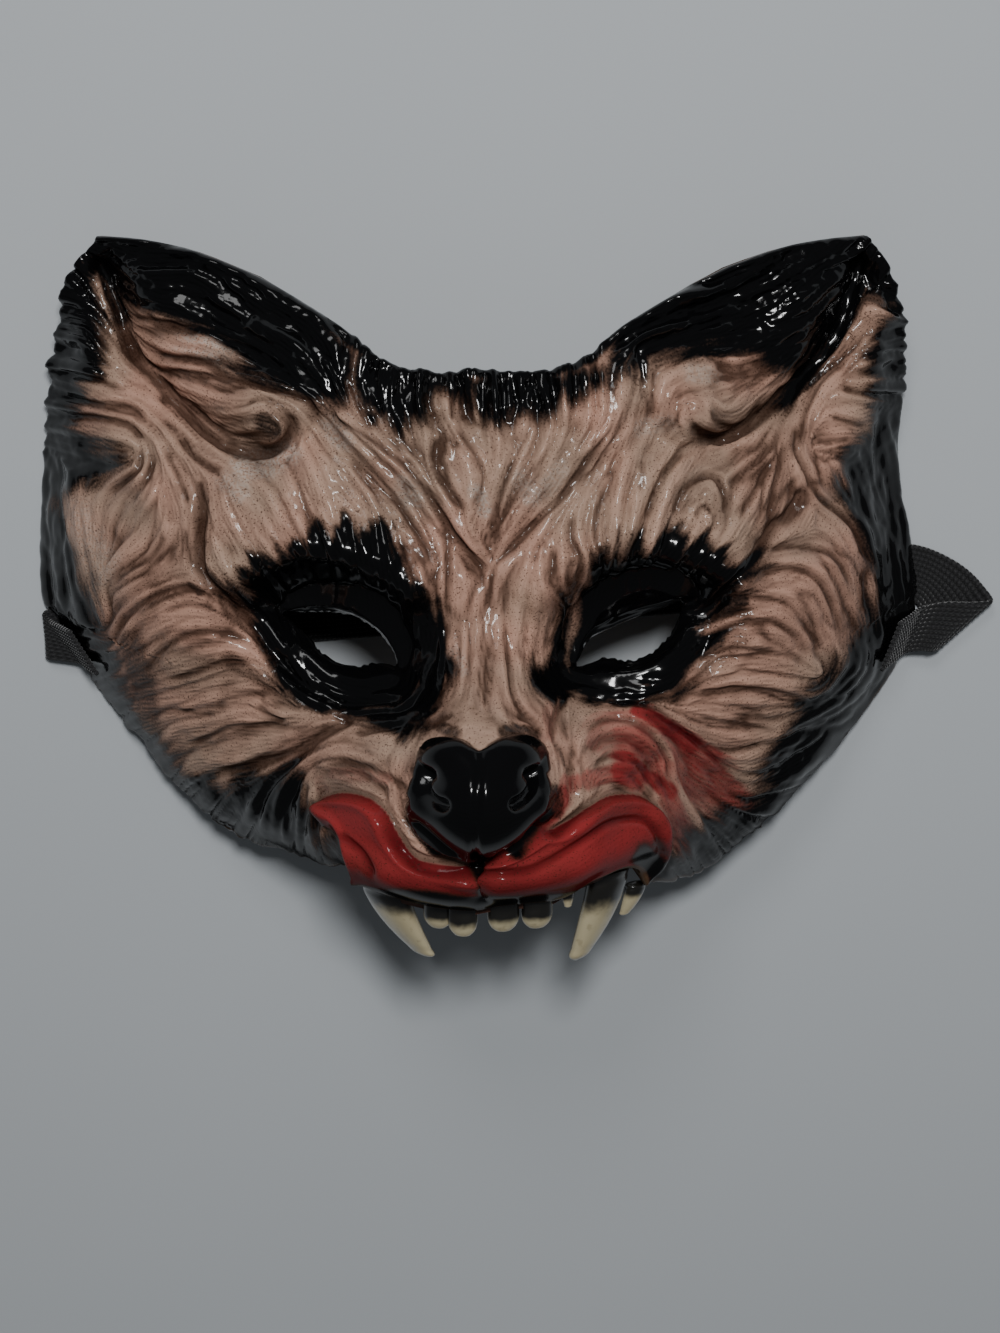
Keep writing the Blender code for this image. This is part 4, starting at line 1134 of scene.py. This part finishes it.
RED_STROKES = (
    # x0, y0, x1, y1, reach, strength
    (569, 784, 626, 768, 9, 0.55), (626, 768, 668, 790, 14, 0.8), (596, 735, 625, 722, 16, 0.45),
    (640, 708, 690, 745, 11, 0.85), (690, 745, 745, 815, 16, 0.7), (640, 735, 700, 790, 24, 0.6),
    (668, 800, 690, 850, 16, 0.65), (556, 800, 538, 832, 12, 0.75), (334, 774, 392, 776, 8, 0.35),
    (556, 690, 548, 735, 9, 0.35), (700, 800, 740, 830, 12, 0.5), (660, 880, 690, 880, 10, 0.6),
    (268, 790, 292, 800, 14, 0.25), (318, 780, 325, 800, 6, 0.3),
)
# Painted highlights: pale patches standing for the sheen of light on the glossy latex.
PAINTED_SHEEN_STROKES = (
    # x0, y0, x1, y1, reach, strength
    (190, 336, 232, 348, 15, 0.75), (250, 462, 292, 456, 11, 0.7), (225, 484, 236, 494, 9, 0.5),
    (330, 428, 340, 440, 9, 0.6), (402, 478, 412, 498, 8, 0.6), (478, 492, 484, 510, 6, 0.7),
    (518, 478, 532, 496, 9, 0.5), (640, 428, 668, 420, 8, 0.4), (690, 372, 720, 374, 8, 0.4),
    (350, 706, 420, 716, 6, 0.35), (78, 520, 100, 560, 16, 0.35),
    (455, 655, 462, 668, 6, 0.5), (560, 470, 545, 490, 7, 0.35), (271, 307, 272, 308, 3, 1.0),
)


# %% Paint masks
FULL_SHARE = 0.55
RIM_CELLS = 3.5
RIM_BLACK_CELLS = 7.0
SPRAY_SOFT = 42
EYE_SPRAY_SOFT = 30
NOSE_SPRAY_SOFT = 8
SPIKE_LIMIT = 1.5
LOWER_RIM_ROW = 650
EAR_RIM_ROW = 560
LIP_SHADE_ROW, LIP_SHADE_MIDDLE, LIP_SHADE_END = 868, 470, 600
BLUSH_BLOBS = (
    # x, y, reach x, reach y, strength
    (230, 620, 90, 70, 0.5),
    (770, 590, 70, 70, 0.5),
    (520, 560, 90, 90, 0.4),
    (430, 450, 90, 60, -0.5),
)


def sprayed(strokes, broken, ragged=0.5):
    """Soft strokes, broken up by the strands: the black and red spray, and the painted highlights."""
    amount = np.zeros(len(column))
    for x0, y0, x1, y1, reach, strength in strokes:
        ends = np.array([(x0, y0), (x1, y1)], dtype=float)
        gap, _ = near_path(column, row, ends, 2.2 * reach + 12)
        edge = gap / reach + ragged * broken
        amount = np.maximum(amount, strength * (1 - ease(edge - FULL_SHARE)))
    return amount


def sprayed_inside(outlines, spikes, softness):
    """Paint inside outlines; spikes push their edges out, in pixels."""
    return np.maximum.reduce([ease((depth_in(outline) + spikes) / softness + 0.5) for outline in outlines])


strand_spikes = np.clip(strands, -SPIKE_LIMIT, SPIKE_LIMIT)
lock_spikes = np.clip(locks, -SPIKE_LIMIT, SPIKE_LIMIT)
edge_spikes = -(5.0 * strand_spikes + 3.0 * lock_spikes + 2.0 * clumps - 6.0 * lock_gap + 3.0)
edge_spray = sprayed_inside(BLACK_EDGES, edge_spikes, SPRAY_SOFT)
eye_spray = sprayed_inside(BLACK_EYES, 8.0 * strand_spikes + 4.0 * lock_spikes + 3.0, EYE_SPRAY_SOFT)
eye_spray = np.maximum(eye_spray, ease(nose_depth / NOSE_SPRAY_SOFT + 0.6))
stroke_spray = sprayed(BLACK_STROKES, 0.18 * strands + 0.12 * clumps)
black = np.maximum.reduce([edge_spray, eye_spray, stroke_spray])
lower_rim = (rim_gap < RIM_CELLS) & (row > LOWER_RIM_ROW)
rim_black = ease(1.4 - rim_gap / RIM_BLACK_CELLS) * (row < EAR_RIM_ROW)
on_lips = ease(lip_depth / 2.5 + 0.5)
# Painted shade: darker round the lip's outline, along its grooves and towards its lower edge.
painted_lip_shade = bell((lip_depth + 0.5) / 4.5) * 0.85 + 0.85 * along_strokes(LIP_GROOVES, 3.4)
below_lip = ease((row - LIP_SHADE_ROW + 0.05 * np.abs(column - LIP_SHADE_MIDDLE)) / 26)
painted_lip_shade += 0.9 * below_lip * (lip_depth > -3) * (column < LIP_SHADE_END)
red = np.maximum(on_lips, sprayed(RED_STROKES, 0.22 * strands + 0.2 * clumps + 0.12 * locks, 1.0))
black = np.where(on_lips > 0.5, np.minimum(black, stroke_spray), black)
# Painted shade: darker in the gaps between the locks and strands, and in the folds, grooves and creases.
painted_gap_shade = (0.75 * lock_gap + 0.40 * strand_gap) * (0.55 + 0.45 * ease(clumps * 0.5 + 0.6))
painted_shade = np.clip(0.95 * deep + 0.9 * grooves + 0.75 * creases + painted_lip_shade + (1 - bald) * painted_gap_shade, 0, 1)
# Painted highlights: pale patches for the sheen of light on the glossy latex.
painted_sheen = sprayed(PAINTED_SHEEN_STROKES, 0.3 * strands + 0.3 * clumps, 1.0)
blush = ease(0.5 + 0.35 * clumps + sum(strength * blob(*place) for *place, strength in BLUSH_BLOBS))
# Lighter on the lock crests: dry-brushed paint and a painted highlight.
crest_drybrush_and_highlight = ease((lock_shape - 0.9) / 1.2) * (1 - bald)
print("share of the skin that is black", (black > 0.5).mean().round(2))

# %% [markdown]
# ## One moulding
# The two skins become one closed mesh. The inside needs few faces, so it alone is decimated,
# through a vertex group.

# %% Face mesh
INSIDE_SHARE = 0.05

faces = skin_faces(ROWS + 1, COLUMNS + 1, kept)
points = np.concatenate([outer.reshape(-1, 3), inner.reshape(-1, 3)])
zeros = np.zeros(len(column))


def both_skins(outside, inside=zeros):
    return np.concatenate([outside, inside])


painted = {
    "black": both_skins(np.maximum(black, rim_black)),
    "red": both_skins(red),
    "painted_shade": both_skins(painted_shade),
    "painted_sheen": both_skins(painted_sheen),
    "blush": both_skins(blush),
    "crest_drybrush_and_highlight": both_skins(crest_drybrush_and_highlight),
    "facing": both_skins(facing),
    "bald": both_skins(bald),
    "inside": both_skins(zeros, zeros + 1),
    "rim": both_skins(lower_rim.astype(float), zeros + 1),
    "turn": both_skins(-flow_at(column, row)),
}
points, faces, painted = only_used(points, faces, painted)
face = new_object("face", points, faces, painted)
inside_group = face.vertex_groups.new(name="inside")
inside_group.add(np.flatnonzero(painted["inside"] > 0.5).tolist(), 1.0, "REPLACE")
thin = face.modifiers.new("thin", "DECIMATE")
thin.vertex_group = "inside"
thin.ratio = 0.5 + INSIDE_SHARE / 2
graph = bpy.context.evaluated_depsgraph_get()
face.data = bpy.data.meshes.new_from_object(face.evaluated_get(graph))
face.modifiers.clear()
face.data.name = "face"
triangles = sum(len(polygon.vertices) - 2 for polygon in face.data.polygons)
print("face has", triangles, "triangles")
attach(face, "root")
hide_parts("mask_shell")

# %% [markdown]
# ## Finishes as expressions
# A finish is arithmetic on a few patterns. A small class wraps a socket, so that adding or
# multiplying two of them adds the Math node that does it.

# %% Sockets that calculate
class Pattern:
    """One value inside a material; arithmetic on it adds Math nodes."""

    def __init__(self, tree, socket=None):
        self.tree = tree
        self.socket = socket

    def node(self, kind, settings, inputs, output=0):
        """Add a node: its settings first, then the values or links of its sockets."""
        made = self.tree.nodes.new(kind)
        for key, value in settings.items():
            setattr(made, key, value)
        for key, value in inputs.items():
            if isinstance(value, Pattern):
                self.tree.links.new(value.socket, made.inputs[key])
            else:
                made.inputs[key].default_value = value
        return Pattern(self.tree, made.outputs[output])

    def math(self, operation, *values):
        return self.node("ShaderNodeMath", {"operation": operation}, dict(enumerate(values)))

    def __add__(self, other):
        return self.math("ADD", self, other)

    def __sub__(self, other):
        return self.math("SUBTRACT", self, other)

    def __rsub__(self, other):
        return self.math("SUBTRACT", other, self)

    def __mul__(self, other):
        return self.math("MULTIPLY", self, other)

    __radd__ = __add__
    __rmul__ = __mul__

    def clipped(self):
        return self.node("ShaderNodeClamp", {}, {"Value": self})

    def eased(self, low, high):
        """0 below low, 1 above high, smooth between."""
        return self.node("ShaderNodeMapRange", {"interpolation_type": "SMOOTHSTEP"},
                         {"Value": self, "From Min": low, "From Max": high})

    def blend(self, first, second):
        """From the first colour to the second as this value goes from 0 to 1."""
        first = first if isinstance(first, Pattern) else (*first, 1.0)
        second = second if isinstance(second, Pattern) else (*second, 1.0)
        return self.node("ShaderNodeMix", {"data_type": "RGBA"}, {0: self, 6: first, 7: second}, 2)

    def painted(self, name):
        """A value painted on the mesh's points."""
        return self.node("ShaderNodeAttribute", {"attribute_name": name}, {}, "Fac")

    def place(self):
        return self.node("ShaderNodeTexCoord", {}, {}, "Object")

    def noise(self, scale, detail=2.0):
        inputs = {"Vector": self.place(), "Scale": scale, "Detail": detail}
        return self.node("ShaderNodeTexNoise", {}, inputs, "Fac")


def new_finish(name, **fixed):
    """A material whose shader has the given fixed values; returns it, its shader and a Pattern."""
    material = bpy.data.materials.new(name)
    material.use_nodes = True
    shader = material.node_tree.nodes["Principled BSDF"]
    for key, value in fixed.items():
        shader.inputs[key.replace("_", " ").title().replace("Ior", "IOR")].default_value = value
    return material, shader, Pattern(material.node_tree)


def wire(shader, **patterns):
    """Feed patterns into the shader's sockets."""
    for key, pattern in patterns.items():
        pattern.tree.links.new(pattern.socket, shader.inputs[key.replace("_", " ").title()])


def bump(height, strength, distance):
    inputs = {"Height": height, "Strength": strength, "Distance": distance}
    return height.node("ShaderNodeBump", {}, inputs)


# %% [markdown]
# ## Painted latex
# Flesh-coloured latex sprayed red and black, with painted shade in brown along the grooves and
# between the locks and hairs, painted highlights on the lock crests (there mixed with dry-brushed
# paint) and on a few pale patches, then varnished. An image could hold the paint, but values
# painted on the mesh's points stay sharp enough at this fineness and follow the fur. Very fine
# hairs, too small for the mesh, come from a pattern of short waves that is turned along the same
# flow. The varnish is strongest on the black and on what faces the viewer.

# %% Painted latex
# Flesh on the lock crests: dry-brushed paint and a painted highlight.
FLESH_DRYBRUSH_AND_HIGHLIGHT = (0.56, 0.350, 0.260)
FLESH_GREY = (0.44, 0.300, 0.225)
FLESH_PINK = (0.54, 0.315, 0.235)
# Brown of the painted shade, and also of the specks and of the spray's brown fringe.
SHADE_SPECK_SPRAY_BROWN = (0.040, 0.018, 0.011)
BLACK = (0.0030, 0.0030, 0.0034)
RED = (0.30, 0.013, 0.020)
# Deep red of the painted shade where it falls on the red paint.
SHADED_RED = (0.060, 0.003, 0.005)
# Colour of the painted highlight patches.
SHEEN_COLOUR = (0.62, 0.56, 0.50)
BARE_LATEX = (0.105, 0.062, 0.036)
DULL_RED = (0.22, 0.010, 0.014)
HAIRS_PER_METRE = 900.0
HAIR_WAVES = 2.2

latex, shader, p = new_finish("painted_latex", coat_roughness=0.12, coat_ior=1.4, ior=1.3,
                               specular_ior_level=0.0)
hair_inputs = {"Vector": p.place(), "Scale": HAIRS_PER_METRE / HAIR_WAVES, "Frequency": HAIR_WAVES,
               "Anisotropy": 1.0, "Orientation": p.painted("turn") + math.pi / 2}
hairs = p.node("ShaderNodeTexGabor", {}, hair_inputs, "Value")
furry = 1 - p.painted("bald") * 0.8
mottle = p.noise(160.0, 3.0)
grain = p.noise(1500.0, 2.0)
fine = p.noise(2600.0, 1.0)
spray = p.painted("black") + (hairs - 0.5) * 0.34 * furry + (grain - 0.5) * 0.30
browned = spray.eased(0.06, 0.62)
blackened = spray.eased(0.36, 0.88)
specks = (fine + p.painted("black") * 0.10 + p.noise(60.0) * 0.10).eased(0.69, 0.74)
red_edge = (p.painted("red") + (hairs - 0.5) * 0.24 * furry + (mottle - 0.5) * 0.26).eased(0.10, 0.90)
tone = (p.painted("blush") + (p.noise(45.0) - 0.5) * 0.9).clipped()
# Lighter flesh on the lock crests: dry-brushed paint and a painted highlight.
flesh = (p.painted("crest_drybrush_and_highlight") * 0.5).blend(tone.blend(FLESH_GREY, FLESH_PINK), FLESH_DRYBRUSH_AND_HIGHLIGHT)
# Pale patches of painted highlight, broken up by the grain.
flesh = (p.painted("painted_sheen") * grain.eased(0.35, 0.6) * 0.75).blend(flesh, SHEEN_COLOUR)
reds = p.noise(60.0).eased(0.35, 0.7).blend(RED, DULL_RED)
coloured = (red_edge * 0.93).blend(flesh, reds)
# Painted shade: the grooves' darkening, and darker between the fine hairs; brown on the flesh, deep red on
# the red.
shade_amount = (p.painted("painted_shade") * (0.70 + 0.5 * mottle) + furry * (0.52 - hairs).clipped() * 0.45).clipped()
shaded_and_specked = (shade_amount * (1 - red_edge) * 0.90).blend(coloured, SHADE_SPECK_SPRAY_BROWN)
shaded_and_specked = (shade_amount * red_edge * 0.85).blend(shaded_and_specked, SHADED_RED)
shaded_and_specked = (specks * 0.80).blend(shaded_and_specked, SHADE_SPECK_SPRAY_BROWN)
sprayed_brown = (browned * 0.72).blend(shaded_and_specked, SHADE_SPECK_SPRAY_BROWN)
coat = blackened.blend(sprayed_brown, BLACK)
coat = (p.painted("rim") * (1 - blackened * 0.6)).blend(coat, BARE_LATEX)
roughness = 0.44 - 0.20 * blackened - 0.14 * red_edge + (grain - 0.5) * 0.16 + p.painted("inside") * 0.2
relief_fine = hairs * furry * (0.45 + 0.5 * blackened) + grain * 0.25 + mottle * 0.30
varnish = (0.36 + 0.60 * blackened) * (p.painted("facing").eased(0.12, 0.55) * 0.85 + 0.15)
wire(shader, base_color=coat, roughness=roughness.clipped(), coat_weight=varnish,
     normal=bump(relief_fine, 0.85, 0.0006))
face.data.materials.append(latex)
print(len(latex.node_tree.nodes), "nodes in the painted latex")

# %% [markdown]
# ## Teeth in resin
# The teeth are ivory resin, black at the root where the spray caught them. Each is its own
# closed mesh from the rings above, because a scaled copy of one tooth would stretch its tip.
# The stain is worked out along the tooth, so that it ends at the right share of its length.

# %% Teeth
IVORY = (0.62, 0.55, 0.36)
IVORY_DARK = (0.50, 0.42, 0.25)
SMUDGE = (0.20, 0.15, 0.08)
ROOT_BLACK = (0.012, 0.011, 0.009)
TOOTH_STAIN = {"fang_left": 0.30, "fang_right": 0.40, "premolar_right": 0.35}
INCISOR_STAIN = 0.66
INCISOR_LONGER = 1.12
FANG_WIDER = 1.08


def make_tooth(name, place, width, length, lean, depth):
    """A smooth tooth that stands for the solid's, with its share along its length kept on its points for the
    black root.
    """
    blunt = name.startswith("incisor")
    longer = INCISOR_LONGER if blunt else 1.0
    wider = 1.0 if blunt else FANG_WIDER
    outline = INCISOR_OUTLINE if blunt else TOOTH_OUTLINE
    points, along = tooth_points(place, width * wider, length * longer, lean, depth,
                                 TOOTH_SIDES, TOOTH_RINGS, outline)
    rings = len(points)
    index = np.arange(rings * TOOTH_SIDES).reshape(rings, TOOTH_SIDES)
    beside = np.roll(index, -1, axis=1)
    faces = np.stack([index[:-1], beside[:-1], beside[1:], index[1:]], axis=-1)
    faces = faces[1:-1].reshape(-1, 4)
    first, last = index[0, 0], index[-1, 0]
    caps = [(first, index[1, (k + 1) % TOOTH_SIDES], index[1, k]) for k in range(TOOTH_SIDES)]
    caps += [(last, index[-2, k], index[-2, (k + 1) % TOOTH_SIDES]) for k in range(TOOTH_SIDES)]
    mesh = bpy.data.meshes.new(name)
    flat = points.reshape(-1, 3) + STAND
    mesh.from_pydata(flat.tolist(), [], faces.tolist() + [tuple(int(v) for v in cap) for cap in caps])
    layer = mesh.attributes.new("along", "FLOAT", "POINT")
    layer.data.foreach_set("value", along.ravel().astype(np.float32))
    mesh.shade_smooth()
    tooth = bpy.data.objects.new(name + "_enamel", mesh)
    bpy.context.scene.collection.objects.link(tooth)
    tooth.data.validate()
    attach(tooth, "root")
    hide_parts(name)
    return tooth


def enamel_finish(limit):
    """Ivory resin with a black root that ends raggedly at the given share of its length."""
    enamel, shader, p = new_finish("tooth_enamel", coat_weight=0.8, coat_roughness=0.08, ior=1.5)
    ragged = p.painted("along") + (p.noise(260.0, 3.0) - 0.5) * 0.22
    stained = 1 - ragged.eased(limit - 0.10, limit + 0.14)
    ivory = p.noise(120.0, 3.0).blend(IVORY, IVORY_DARK)
    smudged = (p.noise(500.0).eased(0.55, 0.75) * 0.35).blend(ivory, SMUDGE)
    wire(shader, base_color=stained.blend(smudged, ROOT_BLACK), roughness=0.26 + p.noise(300.0) * 0.15,
         normal=bump(p.noise(240.0, 2.0), 0.25, 0.0004))
    return enamel


for tooth_row in TEETH:
    tooth = make_tooth(*tooth_row)
    tooth.data.materials.append(enamel_finish(TOOTH_STAIN.get(tooth_row[0], INCISOR_STAIN)))
print(len(TEETH), "teeth")

# %% [markdown]
# ## The gum
# A brown strip behind the lip that holds the teeth. So little of it shows that the solid itself
# is kept and only gets a finish: dull brown, a little mottled.

# %% Gum
GUM_DARK = (0.060, 0.026, 0.018)
GUM_LIGHT = (0.13, 0.05, 0.03)

gum_finish, shader, p = new_finish("gum_latex", ior=1.45)
wire(shader, base_color=p.noise(200.0, 3.0).blend(GUM_DARK, GUM_LIGHT),
     roughness=0.45 + p.noise(400.0) * 0.2, normal=bump(p.noise(700.0), 0.4, 0.0004))
gum = frame["nodes"]["gum_strip"]
gum.data.materials.clear()
gum.data.materials.append(gum_finish)
print("the gum keeps the solid's", len(gum.data.polygons), "faces")

# %% [markdown]
# ## The strap
# Half-inch braided elastic: eleven raised ribs run along it and a fine weft crosses them. It
# leaves the right wall in a loop, passes under the mask along the floor and climbs the left
# wall. Its route is the solid's own list of edge points, except that it starts nearer the rims,
# as the photograph shows.

# %% Strap route
STRAP_THICK = 0.0012
STRAP_FLOOR_GAP = 0.0001
STRAP_SEAT_GAP = 0.0007
STRAP_LOOP_REACH = 0.0165
STRAP_LOOP_HEIGHT = 0.0046
STRAP_RUN_SHARES = (0.06, 0.12, 0.30, 0.60, 0.90, 0.95)
STRAP_TURN_REACH = 0.0026
STRAP_TURN = ((0.35, 0.00), (1.00, 0.30))
STRAP_SEATS = (0.915, 0.943, 0.970)
STRAP_LOOP = (
    # lower out, lower along, lower up, upper out, upper along, upper up
    (-0.02, -0.50, 0.88, 0.32, 0.47, 1.00),
    (0.12, -0.52, 0.80, 0.74, 0.45, 0.92),
    (0.21, -0.50, 0.42, 1.00, 0.46, 0.46),
    (0.12, -0.36, 0.06, 0.88, 0.70, 0.05),
    (0.01, 0.07, 0.00, 0.56, 1.09, 0.00),
    (-0.10, 0.35, 0.00, 0.20, 1.35, 0.00),
    (-0.38, 0.50, 0.00, -0.13, 1.49, 0.00),
)


def seat_rows(side):
    """The strap's two edges where it lies on a side wall, from the face down to the rim."""
    rows = []
    for place in STRAP_SEATS:
        across = np.full(3, side * place)
        down = np.array([STRAP_DOWN[side] + NORMAL_STEP, STRAP_DOWN[side], STRAP_DOWN[side] - NORMAL_STEP])
        below, middle, above = face_surface(across, down)
        width_way = (above - below) / np.linalg.norm(above - below)
        middle = middle + outward(across, down)[1] * (STRAP_SEAT_GAP + STRAP_THICK / 2)
        rows.append(np.array([middle - width_way * STRAP_WIDTH / 2, middle + width_way * STRAP_WIDTH / 2]))
    return rows


def strap_rows():
    """The strap's route as pairs of edge points, from the right wall round to the left wall."""
    floor_z = STRAP_FLOOR_GAP + STRAP_THICK / 2
    rows = seat_rows(1)
    right_rim = face_surface([1.0], [STRAP_DOWN[1]])[0]
    for low_out, low_along, low_up, high_out, high_along, high_up in STRAP_LOOP:
        rows.append(np.array([
            (right_rim[0] + out * STRAP_LOOP_REACH, right_rim[1] + along * STRAP_WIDTH,
             floor_z + up * STRAP_LOOP_HEIGHT)
            for out, along, up in ((low_out, low_along, low_up), (high_out, high_along, high_up))
        ]))
    left_rim = face_surface([-1.0], [STRAP_DOWN[-1]])[0]
    start = rows[-1].mean(axis=0)
    finish = np.array([left_rim[0], left_rim[1], floor_z])
    length = np.linalg.norm(finish - start)
    run = (finish - start) / length
    across_run = np.array([run[1], -run[0], 0.0]) * STRAP_WIDTH / 2
    for share in STRAP_RUN_SHARES:
        middle = start + run * length * share
        rows.append(np.array([middle - across_run, middle + across_run]))
    seats = seat_rows(-1)
    for reach, rise in STRAP_TURN:
        middle = seats[-1] * rise + rows[-1] * (1 - rise)
        middle[:, 0] = left_rim[0]
        rows.append(middle + np.array([-1.0, 0.0, 0.0]) * reach * STRAP_TURN_REACH)
    rows.extend(reversed(seats))
    return np.array(rows)


route = strap_rows()
print(len(route), "pairs of edge points")

# %% [markdown]
# ## The strap's ribs
# The ribs are wide enough to show as relief, so they are in the mesh: each step across the band
# lies deeper or higher by one smooth wave for each rib. The weft that crosses them is too
# shallow to need faces of its own, so the finish adds it as a bump.

# %% Strap mesh
STRAP_STEPS = 520
STRAP_COLUMNS = 66
RIBS = 11
RIB_DEPTH = 0.00028

middles = route.mean(axis=1)
travel = np.concatenate([[0.0], np.cumsum(np.linalg.norm(np.diff(middles, axis=0), axis=1))])
table = [(place, *low, *high) for place, (low, high) in zip(travel, route)]
steps = np.linspace(0.0, travel[-1], STRAP_STEPS + 1)
edges = smooth_table(table, steps)
edges[:, [2, 5]] = np.maximum(edges[:, [2, 5]], STRAP_FLOOR_GAP + STRAP_THICK / 2)
share = np.linspace(0.0, 1.0, STRAP_COLUMNS + 1)[None, :, None]
middle_sheet = edges[:, None, :3] * (1 - share) + edges[:, None, 3:] * share + STAND
sheet_normals = grid_normals(middle_sheet)
rib = np.abs(np.sin(math.pi * RIBS * share[..., 0])) * np.ones((STRAP_STEPS + 1, 1))
half = STRAP_THICK / 2 - RIB_DEPTH * (1 - rib)
strap_upper = middle_sheet + sheet_normals * half[..., None]
strap_lower = middle_sheet - sheet_normals * half[..., None]
whole = np.ones((STRAP_STEPS, STRAP_COLUMNS), dtype=bool)
strap_faces = skin_faces(STRAP_STEPS + 1, STRAP_COLUMNS + 1, whole)
weave = np.repeat(steps[:, None], STRAP_COLUMNS + 1, axis=1).ravel()
crosswise = np.repeat(share[..., 0], STRAP_STEPS + 1, axis=0).ravel() * STRAP_WIDTH
strap_points = np.concatenate([strap_upper.reshape(-1, 3), strap_lower.reshape(-1, 3)])
strap = new_object("strap_elastic", strap_points, strap_faces,
                   {"along": np.tile(weave, 2), "crosswise": np.tile(crosswise, 2)})
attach(strap, "root")
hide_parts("strap")

print("strap is", round(travel[-1] * 1000), "mm long")

# %% Black elastic
WEFT = 0.0011
THREAD_DARK = (0.003, 0.003, 0.0035)
# Lightest thread colour, also used for the painted highlight on the rib crests.
THREAD_AND_RIB_HIGHLIGHT = (0.030, 0.030, 0.032)

elastic, shader, p = new_finish("black_elastic", sheen_weight=0.25, sheen_roughness=0.4,
                                specular_ior_level=0.35)
ribs = p.math("ABSOLUTE", p.math("SINE", p.painted("crosswise") * (math.pi * RIBS / STRAP_WIDTH)))
weft = p.math("SINE", p.painted("along") * (2 * math.pi / WEFT) + ribs * 2.0)
fuzz = p.noise(2500.0, 2.0)
# Lighter along each rib's crest, a painted highlight; the weft and the fuzz are the threads' own variation.
weave_and_rib_highlight = (weft * 0.18 + ribs * 0.55 + fuzz * 0.5 - 0.25).clipped()
wire(shader, base_color=weave_and_rib_highlight.blend(THREAD_DARK, THREAD_AND_RIB_HIGHLIGHT),
     roughness=0.60 + fuzz * 0.25, normal=bump(ribs + weft * 0.35 + fuzz * 0.5, 0.8, 0.0004))
strap.data.materials.append(elastic)
print(len(elastic.node_tree.nodes), "nodes in the elastic")

# %% [markdown]
# ## Floor and light
# A pale floor, a small bright light some way above the lens, whose sparkles show on every
# glossy strand, and a broader and softer one further off beyond the ears.

# %% Stage
FLOOR_HALF = 1.6
FLOOR_GAP = 0.0005
FLOOR_GREY = (0.50, 0.53, 0.555)
FLOOR_PALE = (0.53, 0.56, 0.585)
SKY = (0.80, 0.84, 0.88, 1.0)
SKY_STRENGTH = 0.10

bpy.ops.mesh.primitive_plane_add(size=2 * FLOOR_HALF, location=(0, 0, -FLOOR_GAP))
floor = bpy.context.object
floor.name = "floor"
floor_finish, shader, p = new_finish("floor", roughness=0.7)
wire(shader, base_color=p.noise(8.0).blend(FLOOR_GREY, FLOOR_PALE))
floor.data.materials.append(floor_finish)

LIGHTS = (
    # name, x, y, z, size, watts
    ("key", 0.045, 0.385, 0.800, 0.16, 4.9),
    ("overhead", -0.25, 0.95, 0.95, 0.40, 2.6),
)
for name, x, y, z, size, watts in LIGHTS:
    data = bpy.data.lights.new(name, "AREA")
    data.shape = "DISK"
    data.size = size
    data.energy = watts
    light = bpy.data.objects.new(name, data)
    light.location = (x, y, z)
    aim = Vector(LOOK_AT) - light.location
    light.rotation_euler = aim.to_track_quat("-Z", "Y").to_euler()
    bpy.context.scene.collection.objects.link(light)

world = bpy.data.worlds.new("studio")
bpy.context.scene.world = world
world.use_nodes = True
background = world.node_tree.nodes["Background"]
background.inputs["Color"].default_value = SKY
background.inputs["Strength"].default_value = SKY_STRENGTH
print(len(LIGHTS), "lights")
